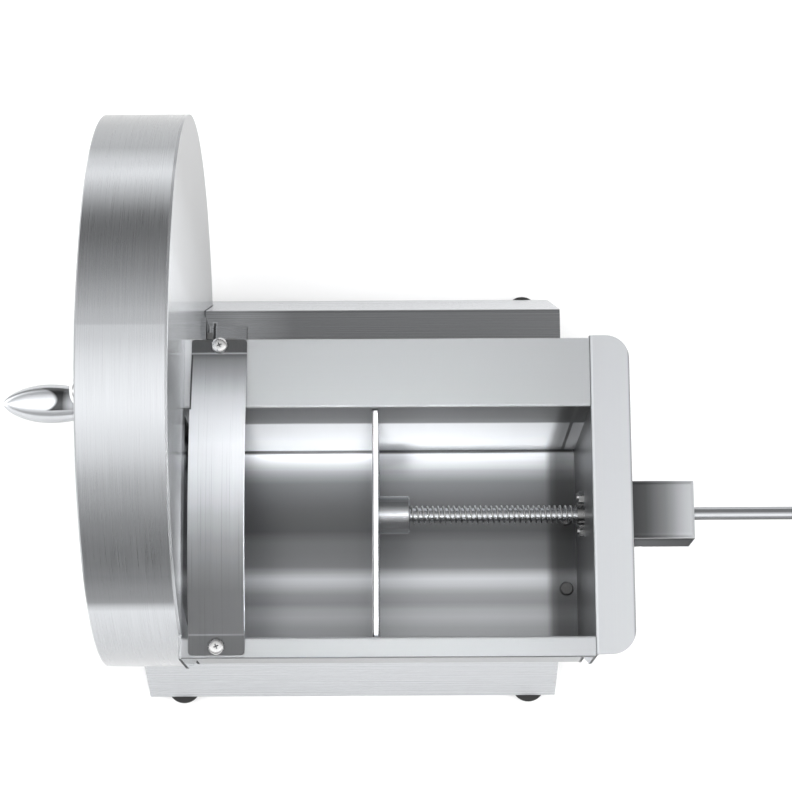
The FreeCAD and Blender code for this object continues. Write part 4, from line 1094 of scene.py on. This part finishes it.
# %% Cap nut
def choose(*pieces):
    """Select these pieces alone, the first one active."""
    bpy.ops.object.select_all(action="DESELECT")
    for piece in pieces:
        piece.select_set(True)
    bpy.context.view_layer.objects.active = pieces[0]


def join_pieces(name, *pieces):
    """One object out of several."""
    choose(*pieces)
    bpy.ops.object.join()
    pieces[0].name = name
    return pieces[0]


NUT_FACE = -0.19475
NUT_RADIUS = 0.009
NUT_THICKNESS = 0.0055
DOME_RADIUS = 0.0078
DOME_RISE = 0.0043
DOME_RINGS = 12
nut_centre = (NUT_FACE, CRANK_AXIS[1], CRANK_AXIS[2])
cap_nut = first_disc("cap_nut", 6, NUT_RADIUS, nut_centre, "x")
bpy.ops.transform.rotate(value=math.radians(30), orient_axis="X", center_override=nut_centre)
bpy.ops.mesh.extrude_region_move(TRANSFORM_OT_translate={"value": (-NUT_THICKNESS, 0.0, 0.0)})
bpy.ops.mesh.select_all(action="DESELECT")
bpy.ops.object.mode_set(mode="OBJECT")
for edge in cap_nut.data.edges:
    ends = [cap_nut.data.vertices[index].co.x for index in edge.vertices]
    edge.select = abs(ends[0] - ends[1]) > 0.001
bpy.ops.object.mode_set(mode="EDIT")
bpy.ops.mesh.bevel(offset=0.0009, segments=3, affect="EDGES")
leave_edit()
dome_foot = NUT_FACE - NUT_THICKNESS - 0.0001
dome_rings = [(NUT_FACE - 0.004, DOME_RADIUS), (dome_foot, DOME_RADIUS)]
for band in range(1, DOME_RINGS + 1):
    rise = math.radians(90 * band / (DOME_RINGS * 1.05))
    dome_rings.append((dome_foot - DOME_RISE * math.sin(rise), DOME_RADIUS * math.cos(rise)))
dome = drawn_out("cap_dome", dome_rings, CRANK_AXIS, "x", 48)
join_pieces("cap_nut", cap_nut, dome)
bpy.ops.object.shade_smooth_by_angle(angle=CREASE)
stand_in(cap_nut, "chrome", "rotor", "crank_nut")

# %% [markdown]
# ## Spring
#
# The spring is one round wire wound 31 times round the rod. A curve with a round bevel could be
# laid as a helix. A small circle, the wire's section, set at the coil's radius and swept by a
# Screw modifier, turns and moves at once and leaves clean rings. When the pusher slides, one end
# of the spring goes with it and the other stays at the end plate.

# %% Spring
WIRE_RADIUS = 0.0005
COIL_RADIUS = 0.00445
SPRING_START = -0.01725 + WIRE_RADIUS
SPRING_END = 0.07375 - WIRE_RADIUS
SPRING_TURNS = 31
STEPS_PER_TURN = 24
bpy.ops.object.select_all(action="DESELECT")
bpy.ops.mesh.primitive_circle_add(
    vertices=12, radius=WIRE_RADIUS, fill_type="NOTHING", location=ROD_LINE
)
spring = bpy.context.object
spring.name = "round_spring"
edit_all()
bpy.ops.transform.translate(value=(SPRING_START, COIL_RADIUS, 0.0))
bpy.ops.object.mode_set(mode="OBJECT")
sweep = spring.modifiers.new("sweep", "SCREW")
sweep.axis = "X"
sweep.angle = 2 * math.pi
sweep.iterations = SPRING_TURNS
sweep.screw_offset = (SPRING_END - SPRING_START) / SPRING_TURNS
sweep.steps = STEPS_PER_TURN
sweep.render_steps = STEPS_PER_TURN
sweep.use_smooth_shade = True
bpy.ops.object.modifier_apply(modifier="sweep")
bpy.ops.object.transform_apply(location=True, rotation=True, scale=True)
edit_all()
bpy.ops.mesh.remove_doubles(threshold=0.0000005)
bpy.ops.mesh.fill_holes(sides=0)
leave_edit()
spring.data.materials.append(finishes["spring_steel"])
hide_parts("pusher_spring")
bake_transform(spring)
print("spring turns:", SPRING_TURNS, "open edges:", open_edges(spring))

# %% [markdown]
# ## Rubber feet
#
# Each foot is a short moulded plug, wider at the top, with a rounded lower edge and a shallow
# groove round it. One foot could be drawn out and copied three times. Each is drawn out in its
# own place instead, so every one has its own mesh and its object stays at the origin.

# %% Feet
SCREW_BORE = 0.0021
foot_rings = [
    (0.0, 0.0070), (0.0003, 0.0078), (0.0009, 0.0084), (0.0018, 0.0087), (0.0046, 0.0091),
    (0.0050, 0.0089), (0.0056, 0.0089), (0.0060, 0.0093), (0.0088, 0.0098), (0.0096, 0.0099),
    (0.0100, 0.0096), (0.0100, SCREW_BORE), (0.0036, SCREW_BORE),
]
foot_places = {
    "foot_front_left": (-0.15485, -0.1435),
    "foot_front_right": (0.05515, -0.1435),
    "foot_rear_left": (-0.15485, 0.0918),
    "foot_rear_right": (0.05515, 0.0918),
}
for node_name, (foot_x, foot_y) in foot_places.items():
    foot = drawn_out("rubber_" + node_name, foot_rings, (foot_x, foot_y, 0.0), "z", 40)
    stand_in(foot, "rubber", "frame", node_name)

# %% [markdown]
# ## Button head screws
#
# Two button head screws hold the guard. The head is drawn out as a low dome with a flat rim, and
# a cross shaped socket is sunk into it. The socket could be insets pushed down in the head's top,
# but its rings run the wrong way for that. A Boolean modifier cuts it with two crossed bars that
# taper to a point, as a driver's tip does. The cut faces take the bars' dark steel, which is
# painted shade in the recess.


# %% Button head screws
BAR_TAPER = 0.45
HEAD_RINGS = 8
HEAD_SEAT = 0.2462
guard_screw_sizes = {
    "head_radius": 0.0043, "head_height": 0.0024, "shank_radius": 0.002, "shank_length": 0.006,
}


def crossed_bars(place, reach, depth):
    """Cutter for a cross socket: two tapered bars, crossed, with their wide end up, in dark steel
    that the socket's walls take as painted shade.
    """
    bars = []
    for turned in (0.4, 0.4 + math.pi / 2):
        bpy.ops.object.select_all(action="DESELECT")
        bpy.ops.mesh.primitive_cube_add(size=1.0, location=place, rotation=(0.0, 0.0, turned))
        bar = bpy.context.object
        # The socket's walls take the bars' dark steel: painted shade in the recess.
        bar.data.materials.append(finishes["dark_steel_and_socket_shade"])
        bar.scale = (2 * reach, 0.5 * reach, 2 * depth)
        bpy.ops.object.transform_apply(location=True, rotation=True, scale=True)
        for part in (*bar.data.polygons, *bar.data.edges):
            part.select = False
        for vertex in bar.data.vertices:
            vertex.select = vertex.co.z < place[2]
        bpy.ops.object.mode_set(mode="EDIT")
        bpy.ops.transform.resize(value=(BAR_TAPER, BAR_TAPER, 1.0), center_override=place)
        bpy.ops.object.mode_set(mode="OBJECT")
        bars.append(bar)
    return bars


def button_screw(name, place, head_radius, head_height, shank_radius, shank_length):
    """Button head screw standing on a place, with its shank below."""
    rings = [
        (-shank_length, shank_radius * 0.8), (-shank_length + 0.0003, shank_radius),
        (0.0, shank_radius), (0.0, head_radius * 0.97), (0.0002, head_radius),
    ]
    for band in range(1, HEAD_RINGS + 1):
        rise = math.radians(90 * band / (HEAD_RINGS + 1))
        height = head_height * (0.15 + 0.85 * math.sin(rise))
        rings.append((height, head_radius * (0.45 + 0.55 * math.cos(rise))))
    screw = drawn_out(name, rings, place, "z", 40)
    screw.data.materials.append(finishes["screw_steel"])
    top = (place[0], place[1], place[2] + head_height)
    for bar in crossed_bars(top, head_radius * 0.43, head_height * 0.7):
        cut = screw.modifiers.new("socket", "BOOLEAN")
        cut.material_mode = "TRANSFER"
        cut.operation = "DIFFERENCE"
        cut.solver = "EXACT"
        cut.object = bar
        bpy.context.view_layer.objects.active = screw
        bpy.ops.object.modifier_apply(modifier="socket")
        bpy.data.objects.remove(bar)
    choose(screw)
    bpy.ops.object.shade_smooth_by_angle(angle=CREASE)
    return screw


guard_low, guard_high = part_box("guard_screws")
guard_x = (guard_low[0] + guard_high[0]) / 2
guard_heads = [
    button_screw("guard_screw", (guard_x, guard_y, HEAD_SEAT), **guard_screw_sizes)
    for guard_y in (-0.145, 0.0144)
]
guard_screws = join_pieces("guard_button_screws", *guard_heads)
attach(guard_screws, "frame")
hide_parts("guard_screws")
print("guard screw faces:", len(guard_screws.data.polygons), "open edges:", open_edges(guard_screws))
